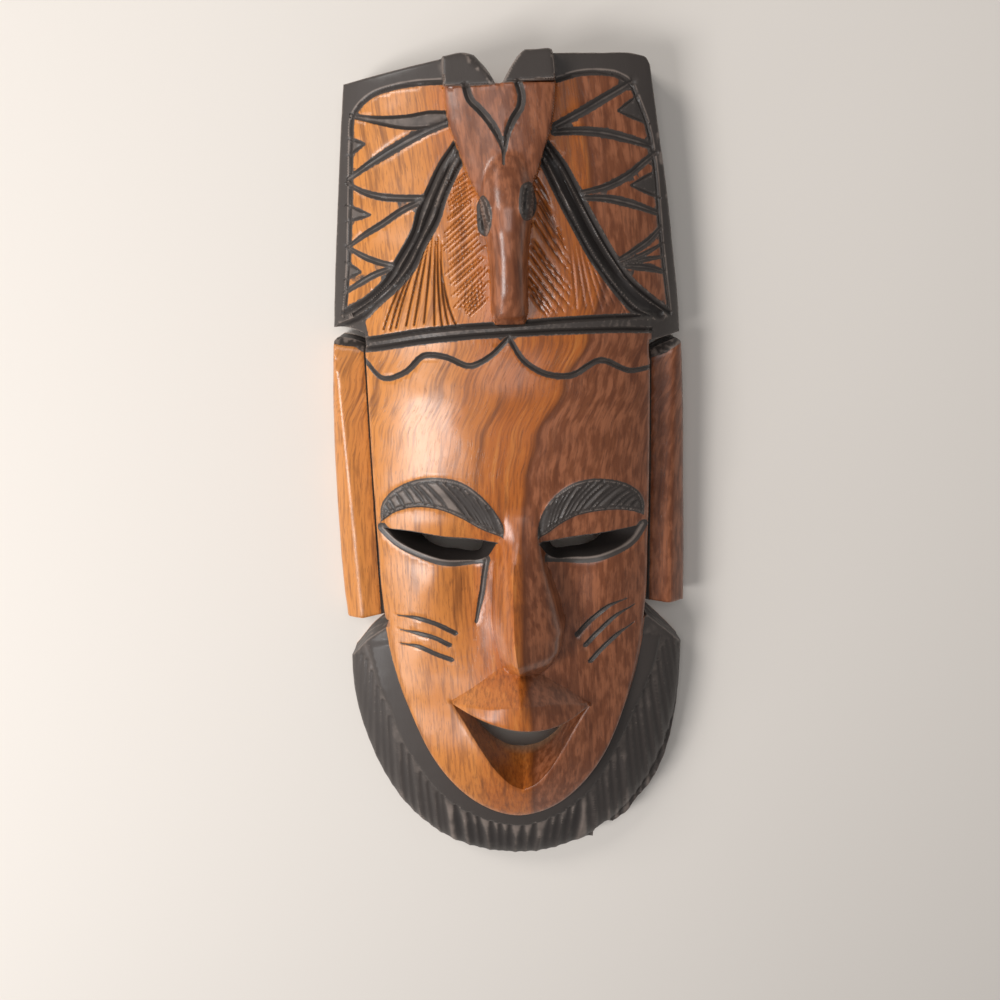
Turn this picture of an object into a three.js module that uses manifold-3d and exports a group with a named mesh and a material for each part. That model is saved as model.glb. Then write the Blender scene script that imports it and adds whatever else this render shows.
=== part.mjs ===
// A wall mask carved from one block of wood, in the manner of East African carvings.
// A headdress with an antelope's head over the brow, a long face with cut-through eyes and mouth,
// a loose side flap at each cheek, and a fluted beard round the chin.
//
// Millimetres. X runs to the right as the mask is looked at, Y to the crown, Z out of the face.
// The mask lies on its back: Z = 0 is the plane of its flat back, and the origin is below the
// middle of its outline.

import * as THREE from "three";
import { mergeVertices } from "three/addons/utils/BufferGeometryUtils.js";
import Module from "manifold-3d";

// Driving dimensions: the whole carving
const CROWN_Y = 157.5; // top of the right horn tip
const BEARD_BOTTOM_Y = -157.5;
const CLEAR_ABOVE = 66; // a height above the tip of the nose
const RELIEF_FLOOR = 20; // forms of the relief start inside the block, at this height
const HORN_TIP_FLOOR = 15;

// Driving dimensions: the face
const FACE_HALF_WIDTH = 51;
const CHEEK_Y = -25; // below this line the face narrows to the chin
const CHIN_Y = -128;
const DOME_HALF_WIDTH = 68; // half the width at which the rounded front would meet its base
const DOME_BASE = -4;
const CHIN_FALL = 0.44; // how far the rounded front falls away towards the chin
const BROW_RAISE = 1.2;
const EYE_TOP_Z = 44; // the antelope's eyes

// Driving dimensions: headdress, flaps and beard
const WING_DOME_HALF_WIDTH = 70;
const WING_DROP = 1.5; // the wings lie this much lower than the hair between them
const HORN_TIP_Y = 146.5; // the dark tips of the horns start here
const FLAP_INNER_X = 50;
const FLAP_OUTER_X = 66.8;
const FLAP_INNER_Z = 17.5;
const FLAP_OUTER_Z = 13;
const BEARD_HALF_WIDTH = 66.3;
const BEARD_CENTRE_Y = -66;
const BEARD_DEPTH = BEARD_CENTRE_Y - BEARD_BOTTOM_Y;
const BEARD_EDGE_Z = 10;
const BEARD_SWELL = 20;
const BEARD_POWER = 2.1; // 2 would make its outline an ellipse

// Driving dimensions: the hollow of the back and the blind hole that a nail goes into
const HOLLOW_HALF_WIDTH = 42;
const HOLLOW_HALF_LENGTH = 118;
const HOLLOW_CENTRE_Y = -1;
const HOLLOW_DEPTH = 29;
const HOLLOW_POWER_ACROSS = 2.4; // 2 and 2 would make its outline an ellipse
const HOLLOW_POWER_ALONG = 4;
const NAIL_HOLE_RADIUS = 4;
const NAIL_HOLE_DEPTH = 14;
const NAIL_HOLE_Y = 134;
const BELOW_BACK = -2; // what is hollowed out runs on to here, and the openings up to there
const OPENING_BOTTOM = 14;
const EYE_OPENING_TOP = 50;
const MOUTH_OPENING_TOP = 58;

// Widths and depths of the carver's cuts
const BAND_CUT = { width: 3.2, depth: 1.7 };
const LINE_CUT = { width: 2.4, depth: 1.2 };
const HAIR_CUT = { width: 2.2, depth: 1.1 };
const SCAR_CUT = { width: 1.9, depth: 1.1 };
const BEARD_CUT = { width: 3.4, depth: 1.5 };

const CUT_STEP = 10; // spacing of the stations along a carved line
const CUTTER_LIFT = 3; // a cutter reaches this far above the surface

// Height of the front along its middle line, without nose, lips and animal: [y, z]
const MIDDLE_LINE = [
  [-128, 38.5],
  [-100, 39.5],
  [-75, 37],
  [-45, 35.5],
  [-20, 37.5],
  [0, 41],
  [18, 42.5],
  [42, 42],
  [64, 40],
  [100, 35.5],
  [130, 32.5],
  [159, 30],
];

// Nose from base to root: [y, x of its ridge, z of its ridge, width to the left, to the right]
const NOSE = [
  [-61, 1, 40, 5, 6],
  [-57, 1, 45, 7.5, 9],
  [-53.5, 0.8, 55, 10, 13],
  [-49, 0.2, 59.5, 11.2, 16.6],
  [-42, -0.6, 59, 10.8, 20],
  [-30, -0.8, 53.5, 9.4, 16],
  [-18, -0.4, 47.6, 8.2, 12.2],
  [-8, 1.2, 43.6, 7, 9],
  [2, 2.6, 41.4, 6, 6.4],
];

// Upper lip from corner to corner: [x, y of its top, y and z of its crest, y and z of its edge]
const UPPER_LIP = [
  [-25.6, -73.2, -73.7, 36, -73.9, 35.5],
  [-13.5, -64.5, -69.8, 45.4, -75.6, 44.5],
  [0.6, -55.6, -66.3, 54, -77.4, 51],
  [15, -66.4, -71, 45.6, -78.6, 45],
  [27.8, -76.4, -76.6, 36, -76.8, 35.5],
];

// Muzzle of the antelope from tip to brow: [y, z of its ridge, half its width]
const MUZZLE = [
  [69.5, 40.5, 5],
  [73, 46.5, 6.2],
  [80, 49, 6.4],
  [101, 51, 7.8],
  [108, 50, 9],
  [114, 47.5, 9.2],
  [121, 44, 8.4],
  [134, 35, 5],
];
const MUZZLE_X = 0.9;

// Half the width of the antelope's head above its muzzle, up to the tips of the horns: [y, x]
const SHIELD = [
  [110, 7.4],
  [116, 10.4],
  [125.6, 14],
  [135.5, 17.3],
  [146.5, 18.4],
];
const SHIELD_X = -0.4;
const SHIELD_TOP_Z = 37.5;
const SHIELD_SLOPE = 0.17;
const SHIELD_RIDGE = 0.11;
const HORN_TIP_RISE = 1; // the tips stand this much above the shield
const HORN_TIP_SLOPE = 0.35;
const HORN_TIP_RIDGE = 0.1;

// Small sums
const clamp = (v, lo, hi) => Math.min(Math.max(v, lo), hi);
const mix = (a, b, t) => a + (b - a) * t;
const bell = (x, y, cx, cy, rx, ry) =>
  Math.exp(-(((x - cx) / rx) ** 2 + ((y - cy) / ry) ** 2) / 2);

// The row of values at v in a table of rows that start with rising positions. Between two rows
// the way may be eased, which rounds it off.
function along(v, rows, eased = false) {
  const from = clamp(rows.findLastIndex(([position]) => position <= v), 0, rows.length - 2);
  const [a, b] = [rows[from], rows[from + 1]];
  const t = clamp((v - a[0]) / (b[0] - a[0]), 0, 1);
  const share = eased ? t * t * (3 - 2 * t) : t;
  return a.slice(1).map((value, i) => mix(value, b[i + 1], share));
}

// Heights of the surfaces

const middleHeight = (y) => along(y, MIDDLE_LINE, true)[0];

// How far down the face narrows: 0 at the cheeks, 1 at the tip of the chin.
const chinShare = (y) => clamp((CHEEK_Y - y) / (CHEEK_Y - CHIN_Y), 0, 1);

// The rounded front of the face and the hair above it.
function faceHeight(x, y) {
  const rise = middleHeight(y) - DOME_BASE;
  const share = 1 - (x / DOME_HALF_WIDTH) ** 2 - CHIN_FALL * chinShare(y) ** 4;
  const dome = DOME_BASE + rise * Math.sqrt(Math.max(share, 0));
  const besideNose = 4 * (bell(x, y, -15, -27, 6, 15) + bell(x, y, 21, -27, 6, 15));
  const chin = 5.5 * bell(x, y, 1, -95, 17, 19);
  const cheeks = 1.8 * (bell(x, y, -33, -38, 9, 14) + bell(x, y, 36, -38, 9, 14));
  return dome - besideNose + chin + cheeks;
}

// The nose has a rounded left side and a broad plane on its right that ends in a sharp edge.
function noseHeight(x, y) {
  const [ridgeX, ridgeZ, left, right] = along(y, NOSE);
  const t = clamp(x < ridgeX ? (ridgeX - x) / left : (x - ridgeX) / right, 0, 1);
  const share = x < ridgeX ? (1 - 0.3 * t) * (1 - t ** 2.2) : (1 - 0.5 * t) * (1 - t ** 7);
  return mix(faceHeight(x, y), ridgeZ, share);
}

// The upper lip is a beak of flat planes that meet in a crest.
function lipHeight(x, y) {
  const [topY, crestY, crestZ, edgeY, edgeZ] = along(x, UPPER_LIP);
  if (y < crestY) return mix(crestZ, edgeZ, clamp((crestY - y) / (crestY - edgeY), 0, 1));
  return mix(crestZ, faceHeight(x, topY), clamp((y - crestY) / (topY - crestY), 0, 1));
}

function muzzleHeight(x, y) {
  const [ridgeZ, half] = along(y, MUZZLE);
  const t = clamp(Math.abs(x - MUZZLE_X) / half, 0, 1);
  return mix(faceHeight(x, y), ridgeZ, Math.sqrt(1 - t ** 2.6));
}

const shieldHeight = (x, y) =>
  SHIELD_TOP_Z + (HORN_TIP_Y - y) * SHIELD_SLOPE - Math.abs(x) * SHIELD_RIDGE;

function hornTipHeight(x, y) {
  const fall = Math.max(y - HORN_TIP_Y, 0) * HORN_TIP_SLOPE + Math.abs(x) * HORN_TIP_RIDGE;
  return SHIELD_TOP_Z + HORN_TIP_RISE - fall;
}

function wingHeight(x, y) {
  const share = Math.max(1 - (x / WING_DOME_HALF_WIDTH) ** 2, 0);
  return DOME_BASE + (middleHeight(y) - DOME_BASE) * Math.sqrt(share) - WING_DROP;
}

function flapHeight(x) {
  const t = (Math.abs(x) - FLAP_INNER_X) / (FLAP_OUTER_X - FLAP_INNER_X);
  return mix(FLAP_INNER_Z, FLAP_OUTER_Z, clamp(t, 0, 1) ** 2);
}

// The beard slopes down from the chin to a thin edge, where its share is 1.
function beardHeight(x, y) {
  const down = Math.max(BEARD_CENTRE_Y - y, 0) / BEARD_DEPTH;
  const across = Math.abs(x) / BEARD_HALF_WIDTH;
  const share = (down ** BEARD_POWER + across ** BEARD_POWER) ** (1 / BEARD_POWER);
  return BEARD_EDGE_Z + BEARD_SWELL * Math.max(1 - share ** 2, 0) ** 0.6;
}

// Outlines, as corners [x, y] in order round the form

const movedBy = (dx, outline) => outline.map(([x, y]) => [x + dx, y]);

// Corners on both sides of a form whose half width is known row by row, from top to bottom.
const bothSides = (rows) => [
  ...rows.map(([y, half]) => [half, y]),
  ...rows.map(([y, half]) => [-half, y]).reverse(),
];

const WINGS = [
  [0.4, 147],
  [4, 154.6],
  [8, 156.4],
  [47.6, 156.4],
  [51.2, 153.6],
  [63.3, 62],
  [48, 60.8],
  [-48, 65.4],
  [-50.6, 68.6],
  [-63.1, 67],
  [-53.6, 149.6],
  [-18.6, 156],
  [-6.6, 155.6],
  [-2, 149],
];
const FLAP_LEFT = [
  [-48, 60],
  [-56.5, 62.6],
  [-62.9, 63.6],
  [-65.2, 42],
  [-66.4, 18],
  [-FLAP_OUTER_X, -16],
  [-65.7, -46],
  [-48, -43.4],
];
const FLAP_RIGHT = [
  [48, 55],
  [57, 58.6],
  [63.4, 59.6],
  [65, 34],
  [66, -2],
  [FLAP_OUTER_X, -43.4],
  [48, -41.2],
];
const HORN_TIP_LEFT = [
  [-2.4, 146.2],
  [-2.6, 149.4],
  [-7.6, 156],
  [-11.4, 157],
  [-18.4, 156.6],
  [-18.8, 146.2],
];
const HORN_TIP_RIGHT = [
  [0.6, 146.2],
  [3.8, 153.4],
  [8, CROWN_Y],
  [17, CROWN_Y],
  [17.6, 148],
  [17.4, 146.2],
];
const BROW_LEFT = [
  [-48, -0.8],
  [-46.7, 7.3],
  [-39.9, 13.2],
  [-28.9, 16.3],
  [-18.3, 15.1],
  [-9.7, 9.8],
  [-4.2, 1.6],
  [-3.2, -6],
  [-8.4, -4.4],
  [-20.7, 1.9],
  [-31.4, 4.4],
  [-40.6, 3.1],
];
const BROW_RIGHT = [
  [8.8, -6.8],
  [9.8, 0.8],
  [15.4, 7.9],
  [24, 12.9],
  [33, 14],
  [42.5, 9.6],
  [47.9, 4.2],
  [48.4, -0.9],
  [35.1, 2.4],
  [24.1, 1.4],
  [15, -2.2],
];

// A stretch of the beard's lower edge where wood has broken away
const BROKEN_EDGE = [
  [41.8, -142.6],
  [39.3, -144.7],
  [36.3, -142.9],
  [31.2, -145.6],
  [30.2, -150.4],
  [23.6, -150.9],
  [21, -152.8],
];

// The beard's lower edge is a row of shallow scallops between its flutes, and a broken stretch.
function beardOutline() {
  const count = 44;
  const edge = Array.from({ length: count + 1 }, (_, i) => {
    const angle = (Math.PI * i) / count;
    const reach = i % 2 ? 0.992 : 1;
    const c = Math.cos(angle);
    const x = reach * Math.sign(c) * BEARD_HALF_WIDTH * Math.abs(c) ** (2 / BEARD_POWER);
    return [x, BEARD_CENTRE_Y - reach * BEARD_DEPTH * Math.sin(angle) ** (2 / BEARD_POWER)];
  });
  const right = edge.filter(([x]) => x > BROKEN_EDGE[0][0]);
  const left = edge.filter(([x]) => x < BROKEN_EDGE.at(-1)[0]);
  return [...right, ...BROKEN_EDGE, ...left, [-50, -46], [0, -60], [51, -44]];
}

// Half the width of the hair from the antelope down to the headband: [y, x]
const HAIR = [
  [129, 13.6],
  [110, 23.8],
  [92, 33],
  [79, 43.6],
  [73, FACE_HALF_WIDTH],
];

// The raised middle: the face down to the chin, and the hair narrowing up to the antelope.
function faceOutline() {
  const rows = 22;
  const jaw = Array.from({ length: rows + 1 }, (_, i) => {
    const y = mix(CHEEK_Y, CHIN_Y, Math.sin((Math.PI / 2) * (i / rows)));
    return [y, FACE_HALF_WIDTH * (1 - chinShare(y) ** 2) ** 0.55];
  });
  return bothSides([...HAIR, ...jaw]);
}

const noseOutline = () => [
  ...NOSE.map(([y, x, , , right]) => [x + right, y]),
  ...NOSE.map(([y, x, , left]) => [x - left, y]).reverse(),
];

const lipOutline = () => [
  ...UPPER_LIP.map(([x, top]) => [x, top]),
  ...UPPER_LIP.map(([x, , , , edge]) => [x, edge]).reverse(),
];

// An antelope's eye, a narrow leaf standing on end.
const eyeOutline = (x, y, lean) =>
  [[1.9, -1], [1.2, 5], [-0.4, 6.4], [-1.8, 4], [-2.1, -2], [-1.1, -6], [0.9, -6.2]].map(
    ([dx, dy]) => [x + dx + lean * dy, y + dy],
  );

// Each opening as a front outline and a back outline of as many corners, at two heights.
const EYE_LEFT = {
  frontZ: 36,
  backZ: 20,
  front: [
    [-47.8, -5.6], [-42.5, -9.6], [-34, -13.6], [-21.5, -16.6],
    [-9.6, -15.6], [-6.4, -8.9], [-23, -6.9], [-36.5, -5.4],
  ],
  back: [
    [-35, -6.4], [-34, -11.6], [-31, -14], [-21.5, -14.4],
    [-12.2, -14.2], [-11, -8.2], [-23, -6.6], [-31, -5.8],
  ],
};
const EYE_RIGHT = {
  frontZ: 36,
  backZ: 20,
  front: [
    [9.8, -9.4], [13.4, -15.6], [24, -17.4], [35.4, -15.8],
    [43.8, -12], [48.2, -7.2], [37.3, -7.6], [24.3, -8.4],
  ],
  back: [
    [13.6, -8.8], [14.4, -14.4], [24, -14.8], [32, -14.4],
    [34.4, -12], [35.4, -7.6], [31.6, -7.6], [24.3, -8],
  ],
};
const MOUTH = {
  frontZ: 43,
  backZ: 21,
  front: [
    [-25.6, -73.8], [-20, -82.6], [-10, -97], [-3, -106.8], [1.2, -110.6], [5.6, -106.8],
    [14.8, -95], [23.2, -83.6], [27.8, -76.6], [15.4, -78.8], [1.8, -77.6], [-13.6, -75.8],
  ],
  back: [
    [-17.5, -80], [-15.6, -88], [-11, -94], [-5, -99.6], [1.8, -101.4], [8.6, -99.6],
    [13.6, -96], [18, -90], [19.6, -82], [13, -77], [1.5, -75.4], [-11, -76],
  ],
};

// Carved lines, as runs of points [x, y] along the bottom of each cut

const WING_LINES = [
  [[-51.3, 139.3], [-36, 137], [-18.4, 137]],
  [[-53.5, 119.3], [-32.4, 130.4], [-18, 136]],
  [[-54, 117.4], [-41.3, 112.5], [-26.6, 111.6]],
  [[-55.5, 95.9], [-41.8, 103.7], [-26.9, 111.4]],
  [[-55.5, 95.9], [-47, 91.8], [-38.4, 89.4]],
  [[-57.9, 79.8], [-48, 85.2], [-38.4, 89.2]],
  [[18, 133.4], [31, 140.4], [44.4, 147.4]],
  [[18, 131.7], [34.9, 131], [51.2, 126.8]],
  [[26.5, 111.8], [41, 116.2], [53.1, 124.5]],
  [[27.6, 110.4], [42, 108.4], [53.6, 104.6]],
  [[39, 89], [47.6, 93], [54.6, 98.6]],
  [[40, 88], [48.4, 87], [56.2, 84]],
];
const WING_RIM_LINES = [
  [[-18.8, 149.4], [-36, 148], [-49, 142.4], [-51.7, 139], [-54.4, 108], [-59, 71.6]],
  [[17.8, 149], [33, 150.6], [45.4, 146.4], [50.6, 130.6], [54.4, 102], [59, 68.4]],
];
const BAND_OUTER_LINES = [
  [[-16, 128.6], [-26, 111.6], [-35.4, 93.4], [-46.4, 79.4], [-59.4, 71.6]],
  [[15.4, 128.2], [25, 112], [34.8, 94.4], [43.6, 81.4], [58.6, 69]],
];
const BAND_INNER_LINES = [
  [[-12, 126], [-21.6, 107], [-30.6, 89.4], [-45, 76]],
  [[11, 125.4], [21, 106], [31, 88.4], [45, 72.4]],
];
const HEADBAND_LINES = [
  [[-50.6, 64], [-29.5, 67.6], [2, 69.6], [50.6, 69.2]],
  [[-50.6, 60.8], [-29.7, 64.2], [2, 66.4], [50.6, 64.4]],
];
const WAVE_LINES = [
  [[-50.6, 56.4], [-44.5, 51.2], [-36.4, 53.2], [-28.4, 59]],
  [[-28.4, 59], [-20, 58.2], [-13, 55.8], [-6.2, 58.6], [0.3, 64]],
  [[0.3, 64], [5.6, 57], [14, 52.2], [21.4, 51.6]],
  [[21.4, 51.6], [32, 55.6], [42.6, 51.4], [50.6, 51.6]],
];
const SCAR_LINES = [
  [[-44.6, -39.4], [-34, -41], [-22.2, -45.2]],
  [[-43.8, -45.2], [-34, -46.6], [-24.6, -50]],
  [[-44.4, -50.8], [-34, -52], [-23.6, -56.4]],
  [[42.4, -37.2], [32.6, -40.6], [22.6, -47.4]],
  [[45, -40], [35.4, -44], [25.8, -51.4]],
  [[46, -45.6], [37, -50.6], [27.6, -58]],
  [[-10.8, -16.8], [-11, -26], [-14.6, -38.8]],
];
const HORN_LINES = [
  [[-11.5, 146], [-7.4, 139.4], [-1.6, 131], [0.2, 121.7]],
  [[5.8, 146], [6.2, 139.6], [0.9, 128], [0.2, 121.7]],
];

// Combed hair between the headband and a diagonal band, on the side that sign gives.
function hairLines(sign) {
  const count = 5;
  return Array.from({ length: count }, (_, i) => {
    const t = i / (count - 1);
    const foot = mix(47, 20, t);
    const top = mix(39, 20, t);
    const reach = mix(77, 108, t);
    return [
      [sign * foot, 71],
      [sign * mix(foot, top, 0.6), mix(71, reach, 0.5)],
      [sign * top, reach],
    ];
  });
}

// Flutes of the beard. Below the chin they run straight out over its edge, and towards the sides
// they lean over until they almost follow it. An angle of 0 points down from the beard's centre.
function beardLines() {
  const count = 23;
  return Array.from({ length: count }, (_, i) => {
    const edgeAngle = mix(-1.25, 1.25, i / (count - 1));
    const lean = 0.3 * Math.abs(edgeAngle) * edgeAngle;
    return [1.02, 0.94, 0.86].map((share, k) => {
      const angle = edgeAngle + (lean * k) / 2;
      const x = share * BEARD_HALF_WIDTH * Math.sin(angle);
      return [x, BEARD_CENTRE_Y - share * BEARD_DEPTH * Math.cos(angle)];
    });
  });
}

// Solids

const wasm = await Module();
wasm.setup();

// A closed geometry as a solid that can be joined and cut.
function solid(geometry) {
  const bare = new THREE.BufferGeometry();
  bare.setAttribute("position", geometry.getAttribute("position"));
  bare.setIndex(geometry.index);
  const merged = mergeVertices(bare, 1e-4);
  return new wasm.Manifold(
    new wasm.Mesh({
      numProp: 3,
      vertProperties: merged.attributes.position.array,
      triVerts: new Uint32Array(merged.index.array),
    }),
  );
}

function closedGeometry(vertices, triangles) {
  const geometry = new THREE.BufferGeometry();
  geometry.setAttribute("position", new THREE.Float32BufferAttribute(vertices.flat(), 3));
  geometry.setIndex(triangles.flat());
  return geometry;
}

// A block over a rectangle, from a flat floor up to a surface with facets of about the step.
function reliefBlock({ min, max }, [stepX, stepY], floor, height) {
  const columns = Math.ceil((max.x - min.x) / stepX);
  const rows = Math.ceil((max.y - min.y) / stepY);
  const vertices = [];
  for (const level of [() => floor, height]) {
    for (let r = 0; r <= rows; r++) {
      for (let c = 0; c <= columns; c++) {
        const x = mix(min.x, max.x, c / columns);
        const y = mix(min.y, max.y, r / rows);
        vertices.push([x, y, level(x, y)]);
      }
    }
  }
  const top = (rows + 1) * (columns + 1);
  const at = (r, c) => r * (columns + 1) + c;
  const triangles = [];
  const quad = (a, b, c, d) => triangles.push([a, b, c], [a, c, d]);
  for (let r = 0; r < rows; r++) {
    for (let c = 0; c < columns; c++) {
      quad(top + at(r, c), top + at(r, c + 1), top + at(r + 1, c + 1), top + at(r + 1, c));
      quad(at(r, c), at(r + 1, c), at(r + 1, c + 1), at(r, c + 1));
    }
  }
  for (let c = 0; c < columns; c++) {
    quad(at(0, c), at(0, c + 1), top + at(0, c + 1), top + at(0, c));
    quad(at(rows, c + 1), at(rows, c), top + at(rows, c), top + at(rows, c + 1));
  }
  for (let r = 0; r < rows; r++) {
    quad(at(r + 1, 0), at(r, 0), top + at(r, 0), top + at(r + 1, 0));
    quad(at(r, columns), at(r + 1, columns), top + at(r + 1, columns), top + at(r, columns));
  }
  return solid(closedGeometry(vertices, triangles));
}

const corners = (outline) => outline.map(([x, y]) => new THREE.Vector2(x, y));

// A straight-sided prism of an outline, from bottom to top.
function prism(outline, bottom, top) {
  const shape = new THREE.Shape(corners(outline));
  const extruded = new THREE.ExtrudeGeometry(shape, { depth: top - bottom, bevelEnabled: false });
  extruded.translate(0, 0, bottom);
  return solid(mergeVertices(extruded.deleteAttribute("normal").deleteAttribute("uv")));
}

// A form with an outline, standing on the floor and carved on top to the given height.
function carvedForm(outline, steps, height, floor = 0) {
  const bounds = new THREE.Box2().setFromPoints(corners(outline)).expandByScalar(1);
  const block = reliefBlock(bounds, steps, floor, height);
  return block.intersect(prism(outline, floor - 1, CLEAR_ABOVE));
}

// A tapering plug through an opening's back and front outlines, run on past both.
function plug({ front, back, frontZ, backZ }, bottom, top) {
  const ring = (z) => {
    const t = (z - backZ) / (frontZ - backZ);
    return front.map(([x, y], i) => [mix(back[i][0], x, t), mix(back[i][1], y, t), z]);
  };
  const count = front.length;
  const vertices = [...ring(bottom), ...ring(top)];
  const cap = THREE.ShapeUtils.triangulateShape(corners(front), []);
  const triangles = cap.map(([a, b, c]) => [a + count, b + count, c + count]);
  triangles.push(...cap.map(([a, b, c]) => [a, c, b]));
  for (let i = 0; i < count; i++) {
    const j = (i + 1) % count;
    triangles.push([i, j, count + j], [i, count + j, count + i]);
  }
  return solid(closedGeometry(vertices, triangles));
}

// A V-shaped cutter along a run of points, following the given surface.
function grooveCutter(run, { width, depth }, surface) {
  const knots = run.map(([x, y]) => new THREE.Vector3(x, y, 0));
  const path = new THREE.CatmullRomCurve3(knots, false, "centripetal");
  const stations = Math.max(2, Math.round(path.getLength() / CUT_STEP) + 1);
  const half = (width / 2) * (1 + CUTTER_LIFT / depth);
  const vertices = [];
  for (let i = 0; i < stations; i++) {
    const { x, y } = path.getPointAt(i / (stations - 1));
    const way = path.getTangentAt(i / (stations - 1));
    const z = surface(x, y);
    vertices.push([x + way.y * half, y - way.x * half, z + CUTTER_LIFT]);
    vertices.push([x - way.y * half, y + way.x * half, z + CUTTER_LIFT]);
    vertices.push([x, y, z - depth]);
  }
  const triangles = [[0, 1, 2]];
  for (let i = 0; i < stations - 1; i++) {
    for (const [p, q] of [[0, 1], [1, 2], [2, 0]]) {
      const [a, b] = [3 * i + p, 3 * i + q];
      triangles.push([b, a, a + 3], [b, a + 3, b + 3]);
    }
  }
  const end = 3 * (stations - 1);
  triangles.push([end, end + 2, end + 1]);
  return solid(closedGeometry(vertices, triangles));
}

const grooves = (runs, cut, surface) => runs.map((run) => grooveCutter(run, cut, surface));

// The carving, built up and cut down in the order a carver would work

function raisedForms() {
  const browHeight = (x, y) => faceHeight(x, y) + BROW_RAISE;
  const muzzle = bothSides(MUZZLE.map(([y, , half]) => [y, half]).reverse());
  const shield = bothSides([...SHIELD].reverse());
  return [
    carvedForm(WINGS, [7, 22], wingHeight),
    carvedForm(FLAP_LEFT, [6, 60], flapHeight),
    carvedForm(FLAP_RIGHT, [6, 60], flapHeight),
    carvedForm(beardOutline(), [9, 9], beardHeight),
    carvedForm(faceOutline(), [6.6, 7.4], faceHeight),
    carvedForm(BROW_LEFT, [7, 7], browHeight, RELIEF_FLOOR),
    carvedForm(BROW_RIGHT, [7, 7], browHeight, RELIEF_FLOOR),
    carvedForm(noseOutline(), [3, 5], noseHeight, RELIEF_FLOOR),
    carvedForm(lipOutline(), [5, 3], lipHeight, RELIEF_FLOOR),
    carvedForm(movedBy(MUZZLE_X, muzzle), [2.6, 8], muzzleHeight, RELIEF_FLOOR),
    carvedForm(movedBy(SHIELD_X, shield), [40, 40], shieldHeight, RELIEF_FLOOR),
    carvedForm(HORN_TIP_LEFT, [20, 20], hornTipHeight, HORN_TIP_FLOOR),
    carvedForm(HORN_TIP_RIGHT, [20, 20], hornTipHeight, HORN_TIP_FLOOR),
    carvedForm(eyeOutline(-6.9, 106, 0.02), [20, 20], () => EYE_TOP_Z, RELIEF_FLOOR),
    carvedForm(eyeOutline(8, 109.6, -0.06), [20, 20], () => EYE_TOP_Z, RELIEF_FLOOR),
  ];
}

function cutters() {
  return [
    ...grooves(WING_LINES, LINE_CUT, wingHeight),
    ...grooves(WING_RIM_LINES, LINE_CUT, wingHeight),
    ...grooves(BAND_OUTER_LINES, BAND_CUT, wingHeight),
    ...grooves(BAND_INNER_LINES, BAND_CUT, faceHeight),
    ...grooves(HEADBAND_LINES, BAND_CUT, faceHeight),
    ...grooves(WAVE_LINES, LINE_CUT, faceHeight),
    ...grooves(SCAR_LINES, SCAR_CUT, faceHeight),
    ...grooves(HORN_LINES, LINE_CUT, shieldHeight),
    ...grooves([-1, 1].flatMap(hairLines), HAIR_CUT, faceHeight),
    ...grooves(beardLines(), BEARD_CUT, beardHeight),
  ];
}

// The hollow as a dome of rings, open side down and run on a little below the flat back.
function hollowDome() {
  const shares = [0.12, 0.32, 0.55, 0.76, 0.9, 0.975, 1];
  const spokes = 28;
  const ring = (share, z) =>
    Array.from({ length: spokes }, (_, i) => {
      const angle = (2 * Math.PI * i) / spokes;
      const [c, s] = [Math.cos(angle), Math.sin(angle)];
      const x = Math.sign(c) * HOLLOW_HALF_WIDTH * (share * c * c) ** (1 / HOLLOW_POWER_ACROSS);
      const y = Math.sign(s) * HOLLOW_HALF_LENGTH * (share * s * s) ** (1 / HOLLOW_POWER_ALONG);
      return [x, HOLLOW_CENTRE_Y + y, z];
    });
  const rings = shares.map((share) => ring(share, HOLLOW_DEPTH * Math.sqrt(1 - share)));
  rings.push(ring(1, BELOW_BACK));
  const [roof, base] = [HOLLOW_DEPTH, BELOW_BACK].map((z) => [0, HOLLOW_CENTRE_Y, z]);
  const vertices = [roof, ...rings.flat(), base];
  const last = vertices.length - 1;
  const triangles = [];
  for (let i = 0; i < spokes; i++) {
    const j = (i + 1) % spokes;
    triangles.push([0, 1 + i, 1 + j], [last, last - spokes + j, last - spokes + i]);
    for (let r = 0; r < rings.length - 1; r++) {
      const [a, b] = [1 + r * spokes + i, 1 + r * spokes + j];
      triangles.push([a, a + spokes, b + spokes], [a, b + spokes, b]);
    }
  }
  return solid(closedGeometry(vertices, triangles));
}

function nailHole() {
  const length = 2 * NAIL_HOLE_DEPTH;
  const drill = new THREE.CylinderGeometry(NAIL_HOLE_RADIUS, NAIL_HOLE_RADIUS, length, 12);
  drill.rotateX(Math.PI / 2).translate(0, NAIL_HOLE_Y, 0);
  return solid(mergeVertices(drill.deleteAttribute("normal").deleteAttribute("uv")));
}

const hollows = () => [
  hollowDome(),
  nailHole(),
  plug(EYE_LEFT, OPENING_BOTTOM, EYE_OPENING_TOP),
  plug(EYE_RIGHT, OPENING_BOTTOM, EYE_OPENING_TOP),
  plug(MOUTH, OPENING_BOTTOM, MOUTH_OPENING_TOP),
];

function carveMask() {
  const block = wasm.Manifold.union(raisedForms());
  return block.subtract(wasm.Manifold.union([...cutters(), ...hollows()]));
}

function asGeometry(manifold) {
  const made = manifold.getMesh();
  const geometry = new THREE.BufferGeometry();
  geometry.setAttribute("position", new THREE.BufferAttribute(made.vertProperties, 3));
  geometry.setIndex(new THREE.BufferAttribute(made.triVerts, 1));
  return geometry;
}

const redBrownWood = new THREE.MeshStandardMaterial({
  color: 0x9a5a30,
  roughness: 0.42,
  metalness: 0,
});

const mask = new THREE.Mesh(asGeometry(carveMask()), redBrownWood);
mask.name = "mask";

const root = new THREE.Group();
root.add(mask);

export default root;
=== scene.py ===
"""A long wooden wall mask, carved from one block and stained charcoal on headdress, brows and beard.

Sizes and places are in millimetres on the mask: X to the right, Y to the crown, Z out of the face,
with the flat back on Z = 0. They become metres where a mesh, a light or the camera is made.
"""

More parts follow.
